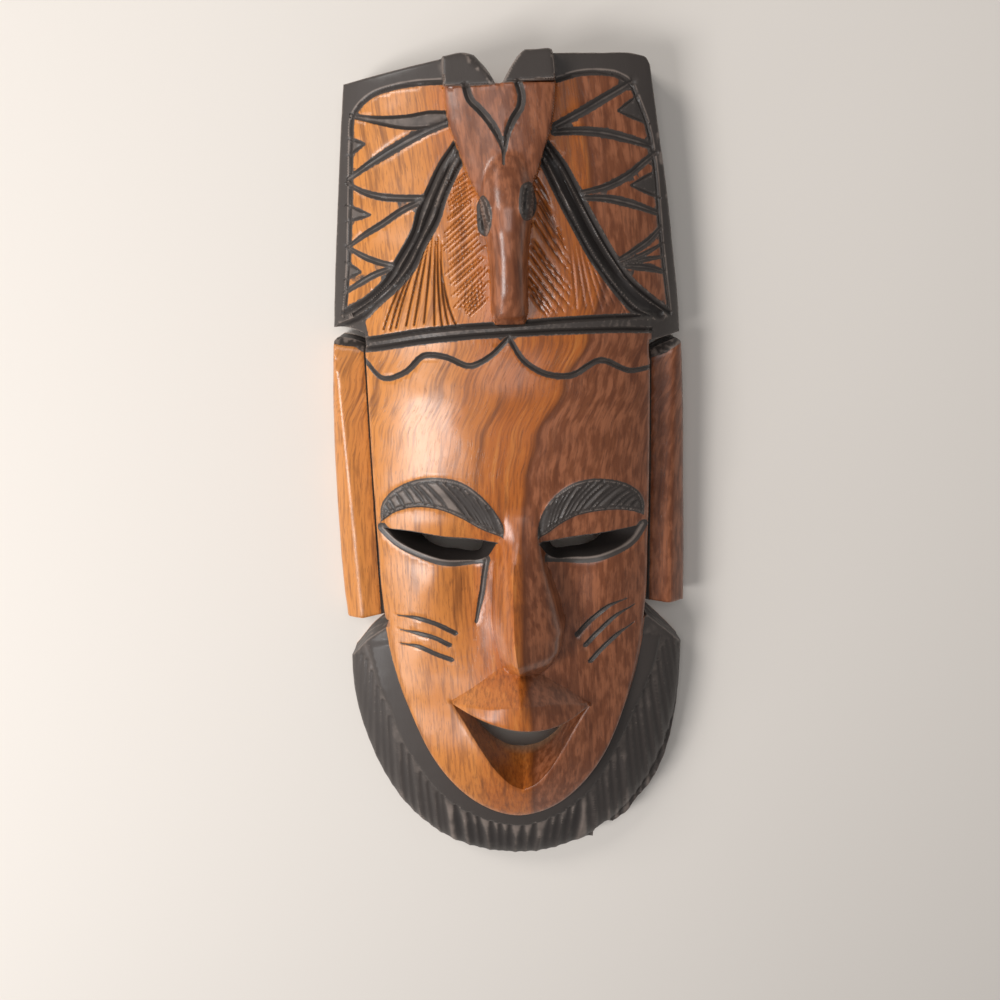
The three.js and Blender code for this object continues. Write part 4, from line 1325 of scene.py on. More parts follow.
@dataclass(frozen=True)
class Beard(Form):
    """The fluted beard round the chin, thinning to a scalloped edge."""

    half_width: float = 66.3
    centre_y: float = -66.0
    bottom_y: float = -157.5
    edge_z: float = 10.0
    swell: float = 20.0
    power: float = 2.1
    strip_rise: float = 0.9
    ridge: Knots = (
        (-57.4, -56), (-56.2, -62.7), (-54.1, -73.1), (-50.5, -81.3), (-47.2, -92.9), (-43.1, -102.5),
        (-38.8, -110), (-35.1, -116.2), (-30, -122.5), (-24.8, -127.4), (-19.5, -130.6), (-12.8, -134.1),
        (-6.1, -135.9), (0.5, -136.6), (8, -135.2), (15.5, -131.8), (21, -128), (26.8, -122.4), (32.6, -114),
        (37.5, -104.4), (42.2, -94), (46.6, -84), (51.6, -73.2), (54.6, -65), (56.4, -56),
    )

    def strip(self) -> Array:
        """The outline of the smooth strip above the ridge."""
        return np.vstack([curve(self.ridge), [[40, -50], [-40, -50]]])

    def shape(self, p: Array, z: Array) -> Array:
        """Below the flaps: a smooth strip beside the face, then the slope to the edge."""
        x, y = p.T
        down = np.maximum(self.centre_y - y, 0) / (self.centre_y - self.bottom_y)
        share = (down**self.power + (np.abs(x) / self.half_width) ** self.power) ** (1 / self.power)
        height = self.edge_z + self.swell * np.maximum(1 - share**2, 0) ** 0.6
        height = height + self.strip_rise * eased(-0.5, 0.5, inside(p, self.strip()))
        return np.where(y <= BEARD_TOP, height, z)

    def rows(self) -> Lines:
        """Along the ridge where the strands start."""
        return [open_tracks(curve(self.ridge), 0.0, -0.5, 0.5)]

    def cuts(self) -> Cuts:
        """The strands, which run out over the edge."""
        left = Fan(
            ((-65.6, -64), (-61, -60.4), (-57.6, -64), (-54, -75.5), (-48.4, -91), (-42.2, -105.4),
             (-35.2, -116.8), (-29, -123.8)),
            ((-66.6, -72), (-63.4, -80), (-60.2, -90), (-55.2, -103), (-49.2, -115), (-42.6, -124.5),
             (-35.6, -132.5), (-29.4, -138)),
            ((-67.6, -84), (-64.8, -98), (-61, -112), (-55, -124.6), (-48.6, -135), (-41.2, -143.6),
             (-33.8, -150), (-27.6, -154)),
            14, 0.7, 0.04, 0.4, 0.6, 34, 31,
        )
        bottom = Fan(
            ((-28.4, -124.6), (-19.6, -131), (-11, -135.2), (0, -137.2), (9.5, -135.2), (17.5, -130.6),
             (25.2, -124.4)),
            ((-28.2, -134), (-18.6, -141), (-10.6, -145), (-0.6, -147), (8.2, -145.4), (16.4, -140),
             (24.6, -133)),
            ((-26.6, -153), (-17.6, -156), (-10, -158), (-1.2, -159.6), (6.4, -159.2), (13.6, -157.6),
             (21.4, -154.6)),
            12, 0.7, 0.03, 0.5, 1.0, 24, 32,
        )
        right = Fan(
            ((26.4, -123.4), (32.8, -115), (39.4, -102), (45.4, -88.6), (50.6, -76), (55.8, -65), (60.6, -58),
             (65.6, -62)),
            ((28.4, -134), (34.4, -128), (41, -119), (47.6, -108), (53.6, -98), (59.2, -88), (63.4, -78),
             (66.6, -70)),
            ((27.6, -153), (34.6, -148.6), (42.5, -144.5), (49.8, -138), (57, -127.5), (62.6, -115),
             (66.4, -101), (68.2, -86)),
            15, 0.7, 0.04, 0.4, 0.6, 34, 33,
        )
        fine = tuple(
            replace(fan, count=2 * fan.count + 1, jitter=0.9, ragged=0.3, root_share=0.1, seed=fan.seed + 9)
            for fan in (left, bottom, right)
        )
        return (
            Cut("side_strands", 4.3, 0.75, fans=(left, right), section=Section.SCOOP),
            Cut("bottom_strands", 5.6, 1.1, fans=(bottom,), section=Section.SCOOP),
            Cut("fine_strands", 1.2, 0.3, fans=fine, section=Section.SOFT),
        )

    def rub(self, p: Array, bare: Array) -> Array:
        """Dry brush marks on the lands between the strands."""
        below = (p[:, 1] < BEARD_TOP) & (inside(p, self.strip()) < -0.3)
        worn = 0.28 + 0.3 * (1 - eased(-132, -120, p[:, 1])) + 0.2 * uneven(p, 7, 2.8)
        return np.where(below, np.maximum(bare, worn), bare)

    def beds(self) -> Beds:
        """All the strands."""
        right = ((66.8, -56), (68, -100), (55, -135), (30, -155))
        around = (*right, (0, -160), *mirrored(right))
        return [(turned_left(np.vstack([curve(self.ridge), around])), 0.75)]


@dataclass(frozen=True)
class Opening:
    """An opening cut through, as the runs of its front edge and as many of its back edge."""

    front: tuple[Knots, ...]
    back: tuple[Knots, ...]
    per_run: tuple[int, ...]  # how many points on each run

    def line(self, runs: tuple[Knots, ...]) -> Array:
        """The front or the back edge, with as many points on each."""
        return np.vstack([even(curve(run), n + 1)[:-1] for run, n in zip(runs, self.per_run)])


LEFT_EYE = Opening(
    chained(
        ((-43.7, -9.6), (-34.5, -13.9), (-21.7, -17), (-10.6, -16), (-5.9, -8.9)),
        ((-14, -7.7), (-23, -6.9), (-37.6, -5.2), (-48.2, -5.4)),
    ),
    chained(
        ((-34, -11.6), (-29, -14.2), (-21.5, -14.6), (-12.2, -14.2), (-10.6, -8.4)),
        ((-16, -7.2), (-23, -6.6), (-30, -6), (-35.6, -6.2)),
    ),
    (52, 48),
)
RIGHT_EYE = Opening(
    chained(
        ((13.2, -15.8), (24.4, -17.8), (35.6, -16.1), (45.1, -12), (48.4, -7.2)),
        ((37.3, -7.4), (24.3, -8.2), (16, -8.9), (9.2, -9.2)),
    ),
    chained(
        ((14.6, -14.2), (22, -15), (30, -14.6), (34.6, -12), (35.8, -7.6)),
        ((31.6, -7.4), (24.3, -7.8), (18, -8.4), (13.2, -8.8)),
    ),
    (52, 46),
)
MOUTH = Opening(
    chained(
        ((-20.4, -82.4), (-14.6, -92), (-7.7, -102.6), (-2.6, -108.4), (1.2, -110.6)),
        ((5.6, -108.2), (10, -103.4), (15.4, -95.2), (22, -84.6), (27.8, -76.6)),
        ((15.4, -78.8), (1.6, -78.2), (-13.6, -75.9), (-25.6, -73.8)),
    ),
    chained(
        ((-16.4, -86), (-12.4, -92.6), (-7.6, -97.6), (-3, -100.4), (1.8, -101.4)),
        ((7, -100.2), (12.4, -97), (17.2, -91.4), (19.2, -86), (19.6, -80)),
        ((12, -77), (1.5, -75.6), (-10, -76), (-17.6, -79)),
    ),
    (40, 40, 56),
)
OPENINGS = (LEFT_EYE, RIGHT_EYE, MOUTH)


@dataclass(frozen=True)
class EyeRims(Form):
    """A bevelled rim below each eye, pale at the opening and dark outside, and a thin dark lid line."""

    width: float = 2.1
    pale: float = 0.75
    step: float = 0.35
    slope: float = 0.45
    lid: float = 0.3

    @staticmethod
    def lower() -> Lines:
        """The lower edges of both eyes, as far as the inner corners."""
        return [spaced(curve(run)) for run in (LEFT_EYE.front[0][:-1], RIGHT_EYE.front[0][1:])]

    @staticmethod
    def upper() -> Lines:
        """The upper edges of both eyes."""
        return [spaced(curve(eye.front[1])) for eye in (LEFT_EYE, RIGHT_EYE)]

    def shape(self, p: Array, z: Array) -> Array:
        """Slopes into the openings, below a shallow step."""
        for line in self.lower():
            away = off_line(p, line)
            step = self.step * (1 - eased(self.width - 0.5, self.width, away))
            z = z - self.slope * (1 - eased(0, self.width, away)) - step
        return z

    def paint(self, p: Array, stain: Array) -> Array:
        """Stained below the eyes and at the lids."""
        for line in self.lower():
            stain = np.minimum(stain, off_line(p, line) - self.width)
        for line in self.upper():
            stain = np.minimum(stain, off_line(p, line) - self.lid)
        return stain

    def rub(self, p: Array, bare: Array) -> Array:
        """Worn at the openings."""
        for line in self.lower():
            away = off_line(p, line)
            bare = np.maximum(bare, 0.7 * (1 - eased(self.pale - 0.2, self.pale + 0.2, away)))
        return bare

    def rows(self) -> Lines:
        """Beside the edges."""
        lower = [tracks(line, (-0.35, -0.8, -1.3, -1.7, -2.2), closed=False) for line in self.lower()]
        return lower + [tracks(line, (-0.35,), closed=False) for line in self.upper()]


# The block as a mesh

OUTLINE: tuple[Knots, ...] = chained(
    ((-56.9, -53), (-65.4, -62.8)),
    ((-65.9, -72), (-65.1, -84), (-60.9, -102), (-55.6, -117), (-48.1, -132), (-38.2, -143.5), (-25.8, -152),
     (-13.2, -155.9), (0, -157.3), (8.1, -157.1), (16.6, -154.9), (23.4, -151.6)),
    ((25, -151.1), (28, -151.5), (30.9, -151.2)),
    ((31.1, -148), (31.5, -145.2)),
    ((33.2, -144.9), (34.4, -143.6), (36.4, -142.6)),
    ((37.8, -144.2), (39.3, -144.9)),
    ((42.4, -142.4), (49.3, -134), (56.7, -122.8), (61.8, -109), (64.8, -93), (66.3, -75), (66.5, -62)),
    ((60, -54.6), (50.6, -45.2)),
    ((50.6, -41.5),),
    ((58, -42.5), (66.75, -43.5)),
    ((66.5, -20), (65.9, 0), (65, 34), (63.7, 58.6)),
    ((62.6, 59.7), (57, 58.3), (50.5, 54.8)),
    ((50.5, 60.8),),
    ((56, 61.2), (63.2, 62.1)),
    ((62.3, 73.3), (59.7, 94.6), (57, 115.3), (53.6, 135.5), (50.9, 153)),
    ((49.4, 155.4), (46.6, 156.2), (32, 156.5), (17.6, 156.6)),
    ((16.8, 157.2), (12, 157.2), (8, 157.2)),
    ((5.6, 155.3), (3.7, 152.7), (0.4, 147.2)),
    ((-0.8, 146.9), (-2, 147.5)),
    ((-3.9, 150.8), (-8.4, 156)),
    ((-11.9, 156.8), (-18.6, 156)),
    ((-36, 152.9), (-53.5, 149.8)),
    ((-56.2, 128.7), (-59, 105.1), (-62.1, 77.1), (-63, 67.4)),
    ((-57, 67.8), (-50.5, 66.3)),
    ((-50.5, 60.6),),
    ((-54.2, 62.5), (-58.4, 63.8), (-61.8, 64), (-63, 62.8)),
    ((-65.2, 40.5), (-66.3, 18), (-66.75, -5), (-66.6, -30.7), (-65.7, -46)),
    ((-58, -45.2), (-48.4, -43.8)),
    ((-48.4, -46.4),),
)


class PointBed:
    """Collects places on the sheet, and leaves out those too near to one it has."""

    def __init__(self, cell: float) -> None:
        """Starts empty. The cell is the largest distance asked for."""
        self.cell = cell
        self.cells: dict[tuple[int, int], list[tuple[float, float]]] = {}
        self.kept: list[tuple[float, float]] = []

    def add(self, points: Array, apart: float) -> None:
        """Takes the points that are this far from all others."""
        limit = apart * apart
        for x, y in points:
            i, j = int(x // self.cell), int(y // self.cell)
            around = ((a, b) for a in (i - 1, i, i + 1) for b in (j - 1, j, j + 1))
            near = (q for cell in around for q in self.cells.get(cell, ()))
            if all((q[0] - x) ** 2 + (q[1] - y) ** 2 >= limit for q in near):
                self.cells.setdefault((i, j), []).append((x, y))
                self.kept.append((x, y))


@dataclass
class Sheet:
    """A sheet of triangles over the XY plane, with its edges as lists of corners."""

    points: Array
    faces: Array
    loops: Lines
    ROW_GAP = 0.24  # least space between points in rows
    ROW_HEIGHT = 0.866  # of a triangle with sides of 1
    NEAREST = 0.62  # least space between points in a bed, against its own
    EDGE_GAP = 0.25  # least space between points and the edges

    @classmethod
    def cut_out(cls, outline: Array, holes: Lines, rows: Lines, beds: Beds) -> "Sheet":
        """Lays a sheet.

        Args:
            outline: its outer edge.
            holes: the edges of its holes.
            rows: places that it must have points at.
            beds: outlines to fill with points, and their spacing. The last one takes in all the sheet.

        Returns:
            The sheet.
        """
        edges = [outline, *holes]
        bed = PointBed(max(step for _, step in beds))
        loops = []
        for edge in edges:
            start = len(bed.kept)
            bed.add(edge, 0.0)
            loops.append(np.arange(start, len(bed.kept)))
        pairs = [pair for loop in loops for pair in zip(loop.tolist(), np.roll(loop, -1).tolist())]
        for row in rows:
            bed.add(row[cls.free(row, edges)], cls.ROW_GAP)
        for area, step in beds:
            grid = cls.grid(area, step)
            bed.add(grid[cls.free(grid, edges)], step * cls.NEAREST)
        found = delaunay_2d_cdt([Vector(q) for q in bed.kept], pairs, [], 0, 1e-7)
        points = np.array([tuple(v) for v in found[0]])
        faces = np.array(found[2])
        new = {old: i for i, olds in enumerate(found[3]) for old in olds}
        loops = [np.array([new[i] for i in loop]) for loop in loops]
        middles = points[faces].mean(axis=1)
        keep = within(middles, outline)
        for hole in holes:
            keep &= ~within(middles, hole)
        faces = faces[keep]
        a, b, c = points[faces[:, 0]], points[faces[:, 1]], points[faces[:, 2]]
        turned = np.cross(b - a, c - a) < 0
        faces[turned] = faces[turned][:, ::-1]
        log.info("sheet: %d points, %d triangles", len(points), len(faces))
        return cls(points, faces, loops)

    @staticmethod
    def grid(area: Array, step: float) -> Array:
        """Evenly spread points in an outline, row shifted against row."""
        low, high = area.min(axis=0), area.max(axis=0)
        rows = np.arange(low[1], high[1], step * Sheet.ROW_HEIGHT)
        across = np.arange(low[0], high[0], step)
        shifts = (step / 2 * (k % 2) for k in range(len(rows)))
        points = np.array([(x + shift, y) for shift, y in zip(shifts, rows) for x in across])
        return points[within(points, area)]

    @staticmethod
    def free(points: Array, edges: Lines) -> Array:
        """Which points lie on the sheet, clear of its edges."""
        clear = inside(points, edges[0]) > Sheet.EDGE_GAP
        for hole in edges[1:]:
            clear &= inside(points, hole) < -Sheet.EDGE_GAP
        return clear


@dataclass(frozen=True)
class Back:
    """The flat back with its hollow, and the blind hole for a nail."""

    half_width: float = 42.0
    half_length: float = 118.0
    centre_y: float = -1.0
    depth: float = 29.0
    across: float = 2.4
    lengthwise: float = 4.0
    inset: float = 0.5
    nail_radius: float = 4.0
    nail_depth: float = 14.0
    nail_y: float = 134.0
    gouge_width: float = 6.5
    gouge_length: float = 17.0

    def rim(self, share: float, count: int = 260) -> Array:
        """The line round the hollow where its share is reached."""
        angle = np.linspace(0, 2 * math.pi, count, endpoint=False)
        c, s = np.cos(angle), np.sin(angle)
        x = np.sign(c) * self.half_width * (share * c * c) ** (1 / self.across)
        y = np.sign(s) * self.half_length * (share * s * s) ** (1 / self.lengthwise)
        line = np.column_stack([x, self.centre_y + y])
        return spaced(np.vstack([line, line[:1]]), 1.3)[:-1]

    def height(self, p: Array) -> Array:
        """The roof of the hollow, with the marks of a gouge, and 0 on the flat."""
        x, y = np.abs(p[:, 0]) / self.half_width, np.abs(p[:, 1] - self.centre_y) / self.half_length
        share = x**self.across + y**self.lengthwise
        dome = self.depth * np.sqrt(np.maximum(1 - share, 0))
        return dome + self.gouge_marks(p) * eased(0, 6, dome)

    def gouge_marks(self, p: Array) -> Array:
        """Long shallow scoops side by side."""
        wide, long = self.gouge_width, self.gouge_length
        best = np.full(len(p), 9.0)
        column_of = np.floor(p[:, 0] / wide)
        for side in (-1, 0, 1):
            i = column_of + side
            shift = np.mod(i * 0.618, 1.0)
            row_of = np.floor(p[:, 1] / long - shift)
            for end in (-1, 0, 1):
                j = row_of + end
                sway = np.sin(i * 12.9 + j * 78.2)
                u = (p[:, 0] - (i + 0.5 + 0.2 * sway) * wide) / wide
                v = (p[:, 1] - (j + 0.5 + shift + 0.15 * np.cos(j * 5.1 + i)) * long) / long
                best = np.minimum(best, u * u + v * v)
        return 0.75 * (0.3 - np.minimum(best, 0.45))

    def nail_ring(self) -> Array:
        """The mouth of the nail hole."""
        angle = np.linspace(0, 2 * math.pi, 28, endpoint=False)
        return np.column_stack([np.cos(angle), np.sin(angle)]) * self.nail_radius + (0, self.nail_y)

    def rows(self) -> Lines:
        """Along the rim of the hollow."""
        return [self.rim(share) for share in (1.0, 0.965, 0.92, 0.86)]


class CarvedMask:
    """Assembles the forms into one closed mesh and carves it."""

    eyes = (1, 2)  # the numbers of the lofts through the eyes
    mouth = 3
    front_step = 1.35  # between points where nothing fine is carved
    back_step = 2.2
    loft_rows = 9
    edge_round = (0.9, 0.45)  # how far in and how deep the outer edge is rubbed round
    mouth_round = (1.1, 0.5)
    tool_marks = (0.3, 0.12)  # on the outer sides, and in the openings
    # Where the dusky wood starts, as x along y: partly real heartwood, partly painted shade on the right,
    # which the lamps light less
    heartwood = (
        (-160, 8), (-110, 5), (-80, 5), (-40, 3), (-10, 3.6), (15, 5.4), (30, 9), (48, 19), (64, 28),
        (82, 33), (110, 30), (160, 24),
    )

    def __init__(self) -> None:
        """Sets the forms in the order they are built up."""
        face = Face()
        self.antelope = Antelope()
        self.forms: tuple[Form, ...] = (
            Headdress(face), Flaps(), Beard(), face, *BROWS, EyeRims(), Nose(), Lip(face), self.antelope,
        )
        self.back = Back()

    def outline(self) -> Array:
        """The outline, with a scalloped edge to the beard."""
        line = ring(*OUTLINE)
        x, y = line.T
        angle = np.arctan2(x / 66.3, -(y + 66) / 91.5)
        low = (1 - eased(-138, -118, y)) * (1 - bell(x, y, (33, -148), (4, 4)))
        dip = low * (0.55 + 0.4 * uneven(line, 6, 8.1)) * np.abs(np.sin(angle * 17.5)) ** 3
        rough = 0.25 * (uneven(line, 5, 3.3) * 0.5 + 0.5)
        return beside(line, 1.0, True) * (dip + rough)[:, None] + line * (1 - dip - rough)[:, None]

    def height(self, p: Array) -> Array:
        """The front before its cuts."""
        z = np.zeros(len(p))
        for form in self.forms:
            z = form.shape(p, z)
        return z + 0.12 * uneven(p, 9, 0.5) + 0.05 * uneven(p, 3.5, 7.5)

    def stain(self, p: Array) -> Array:
        """Distance from stained wood, before the cuts: below 0 the wood is stained."""
        stain = np.full(len(p), -REACH)
        for form in self.forms:
            stain = form.paint(p, stain)
        return stain

    def front(self, finish: Material) -> tuple[Sheet, Mesh]:
        """Makes the carved front.

        Args:
            finish: the material of the wood.

        Returns:
            The sheet that it was laid out on, and the mesh after carving.
        """
        cuts = [(cut, cut.lines(finish)) for form in self.forms for cut in form.cuts()]
        outline = self.outline()
        holes = [opening.line(opening.front) for opening in OPENINGS]
        rows = [tracks(outline, (0.5, 1.1)), *(row for form in self.forms for row in form.rows())]
        rows += [tracks(hole, (-0.4, -0.9)) for hole in holes]
        rows += [row for cut, lines in cuts for row in cut.tracks(lines)]
        beds = [bed for form in self.forms for bed in form.beds()]
        sheet = Sheet.cut_out(outline, holes, rows, [*beds, (outline, self.front_step)])
        z = self.height(sheet.points)
        for depth, (reach, drop) in (
            (inside(sheet.points, outline), self.edge_round),
            (-inside(sheet.points, holes[-1]), self.mouth_round),
        ):
            z = z - np.clip(1 - depth / reach, 0, 1) ** 2 * drop
        places = (np.column_stack([sheet.points, z]) * MM).tolist()
        surface = new_mesh("front", places, [], sheet.faces.tolist())
        mesh = surface.data
        store_values(mesh, "stain", self.stain(sheet.points))
        bare = np.zeros(len(z))
        for form in self.forms:
            bare = form.rub(sheet.points, bare)
        store_values(mesh, "bare", bare)
        store_values(mesh, "cut", np.zeros(len(z)))
        store_values(mesh, "layer", self.antelope.layer(sheet.points))
        for cut, lines in cuts:
            strokes = cut.apply(surface, lines, finish)
            surface.data = baked(surface)
            bpy.data.objects.remove(strokes)
            log.info("cut %s: %d strokes", cut.name, len(lines))
        carved = surface.data
        bpy.data.objects.remove(surface)
        return sheet, carved

    def build(self, finish: Material) -> Object:
        """Makes the whole mask as one object."""
        front, carved = self.front(finish)
        top = vertices(carved)
        outline = front.points[front.loops[0]]
        back_edge = beside(outline, self.back.inset, closed=True)
        holes = [opening.line(opening.back) for opening in OPENINGS]
        holes.append(self.back.nail_ring())
        back = Sheet.cut_out(back_edge, holes, self.back.rows(), [(back_edge, self.back_step)])
        mesh = MeshMaker()
        mesh.add(top, front.faces, front=True)
        start = len(top)
        bottom = np.column_stack([back.points, self.back.height(back.points)])
        mesh.add(bottom, back.faces[:, ::-1], front=False)
        for number, (upper, lower) in enumerate(zip(front.loops, back.loops)):
            mesh.loft(number, upper, start + lower, self.loft_rows, self.tool_marks[number > 0])
            if number in self.eyes:
                mesh.ring[start + lower] = number
        mesh.drill(start + back.loops[4], self.back.nail_depth)
        made = mesh.finished("carved_mask", finish)
        self.mark(made.data, carved, mesh)
        return made

    def mark(self, made: Mesh, carved: Mesh, maker: "MeshMaker") -> None:
        """Stores what the finish reads.

        Args:
            made: the whole mask.
            carved: the front alone, with its values.
            maker: what the mask was gathered in.
        """
        source = np.maximum(maker.source, 0)
        stain, bare, cut = (read_values(carved, name)[source] for name in ("stain", "bare", "cut"))
        eye = np.isin(maker.ring, self.eyes)
        plain = (maker.ring == self.mouth) | (maker.source < 0)
        stain = np.where(eye, -REACH, np.where(plain, REACH, stain))
        front = np.arange(len(source)) < len(carved.vertices)
        points = vertices(made)
        # How far past the edge of the dusky wood, which is partly heartwood and partly painted shade
        across = (points[:, 0] - column(self.heartwood, points[:, 1], smooth=True)) / 10
        antelope = front & (self.antelope.layer(points[:, :2]) > 0.5)
        for name, values in {
            "stain": stain,
            "bare": np.where(front, bare, 0.0),
            # The eye walls count as deep cuts, so their stain is painted near-black as shade
            "cut": np.where(front, cut, np.where(eye, REACH, 0.0)),
            "behind": np.where(eye, 0.0, eased(0.75, 1.0, maker.way)),
            # Lighter on the ridges: partly wear, partly a painted highlight
            "worn": self.ridges(made),
            # The antelope is painted dusky all over: partly heartwood, partly painted shade
            "heart_and_shade": np.where(antelope, np.maximum(across, 0.3), across),
            "figure": (points[:, 0] * 0.3 + across * 7) * MM,
        }.items():
            store_values(made, name, values)

    @staticmethod
    def ridges(mesh: Mesh) -> Array:
        """How far each point stands out from its neighbours, from -1 to 1."""
        points = vertices(mesh)
        ends = np.empty(len(mesh.edges) * 2, np.int32)
        mesh.edges.foreach_get("vertices", ends)
        a, b = ends.reshape(-1, 2).T
        total = np.zeros(len(points))
        count = np.zeros(len(points))
        for here, there in ((a, b), (b, a)):
            apart = np.hypot(*(points[there, :2] - points[here, :2]).T) + 0.2
            np.add.at(total, here, (points[here, 2] - points[there, 2]) / apart)
            np.add.at(count, here, 1)
        return np.clip(2.2 * total / np.maximum(count, 1), -1, 1)


class MeshMaker:
    """Gathers points and faces of one closed mesh."""

    SHARP = math.radians(41)  # edges that turn more than this are shaded sharp

    def __init__(self) -> None:
        """Starts empty."""
        self.points = np.zeros((0, 3))
        self.faces: list[tuple[int, ...]] = []
        self.source = np.zeros(0, int)  # the point of the front that each point goes by, or -1
        self.ring = np.zeros(0, int)  # the number of the loft that each point is part of, or -1
        self.way = np.zeros(0)  # how far each point is from the front to the back

    def put(self, points: Array, source: Array, ring_number: int, way: float) -> Array:
        """Adds points, and gives their numbers."""
        start, count = len(self.points), len(points)
        self.points = np.vstack([self.points, points])
        self.source = np.concatenate([self.source, source])
        self.ring = np.concatenate([self.ring, np.full(count, ring_number)])
        self.way = np.concatenate([self.way, np.full(count, way)])
        return np.arange(start, start + count)

    def add(self, points: Array, faces: Array, front: bool) -> None:
        """Adds a sheet, which is the front or the back."""
        count = len(points)
        source = np.arange(count) if front else np.full(count, -1)
        numbers = self.put(points, source, -1, 0.0 if front else 1.0)
        self.faces += [tuple(face) for face in (faces + numbers[0]).tolist()]

    def loft(self, number: int, upper: Array, lower: Array, rows: int, rough: float) -> None:
        """Joins two loops of as many corners by rows of faces.

        Args:
            number: what to call the loft.
            upper: corners of the front loop, with the wood on the left of its way.
            lower: corners of the back loop, in the same order.
            rows: how many rows of faces.
            rough: how far a tool's marks reach, in millimetres.
        """
        a, b = self.points[upper], self.points[lower]
        way = np.roll(a[:, :2], -1, axis=0) - np.roll(a[:, :2], 1, axis=0)
        way /= np.maximum(np.hypot(*way.T), 1e-9)[:, None]
        inwards = np.column_stack([-way[:, 1], way[:, 0]])
        last = upper
        for row in range(1, rows + 1):
            if row == rows:
                level = lower
            else:
                t = row / rows
                points = a + (b - a) * t
                marks = 0.5 + 0.5 * uneven(points, 4.5, row * 0.6)
                points[:, :2] += inwards * (rough * marks * math.sin(math.pi * t))[:, None]
                level = self.put(points, upper, number, t)
            self.faces += zip(last, level, np.roll(level, -1), np.roll(last, -1))
            last = level

    def drill(self, loop: Array, depth: float) -> None:
        """Sinks a blind hole from a loop on the back."""
        mouth = self.points[loop]
        last = loop
        for share, shrink in ((0.5, 1), (1, 0.96)):
            middle = mouth.mean(axis=0)
            points = middle + (mouth - middle) * shrink + (0, 0, depth * share)
            level = self.put(points, np.full(len(points), -1), -1, 1.0)
            self.faces += zip(last, np.roll(last, -1), np.roll(level, -1), level)
            last = level
        self.faces.append(tuple(last.tolist()))

    def finished(self, name: str, finish: Material) -> Object:
        """The gathered mesh as an object."""
        faces = [tuple(map(int, face)) for face in self.faces]
        made = new_mesh(name, (self.points * MM).tolist(), [], faces)
        mesh = made.data
        mesh.materials.append(finish)
        mesh.shade_smooth()
        mesh.set_sharp_from_angle(angle=self.SHARP)
        log.info("%s: %d vertices, %d faces", name, len(mesh.vertices), len(mesh.polygons))
        return made


# Finishes

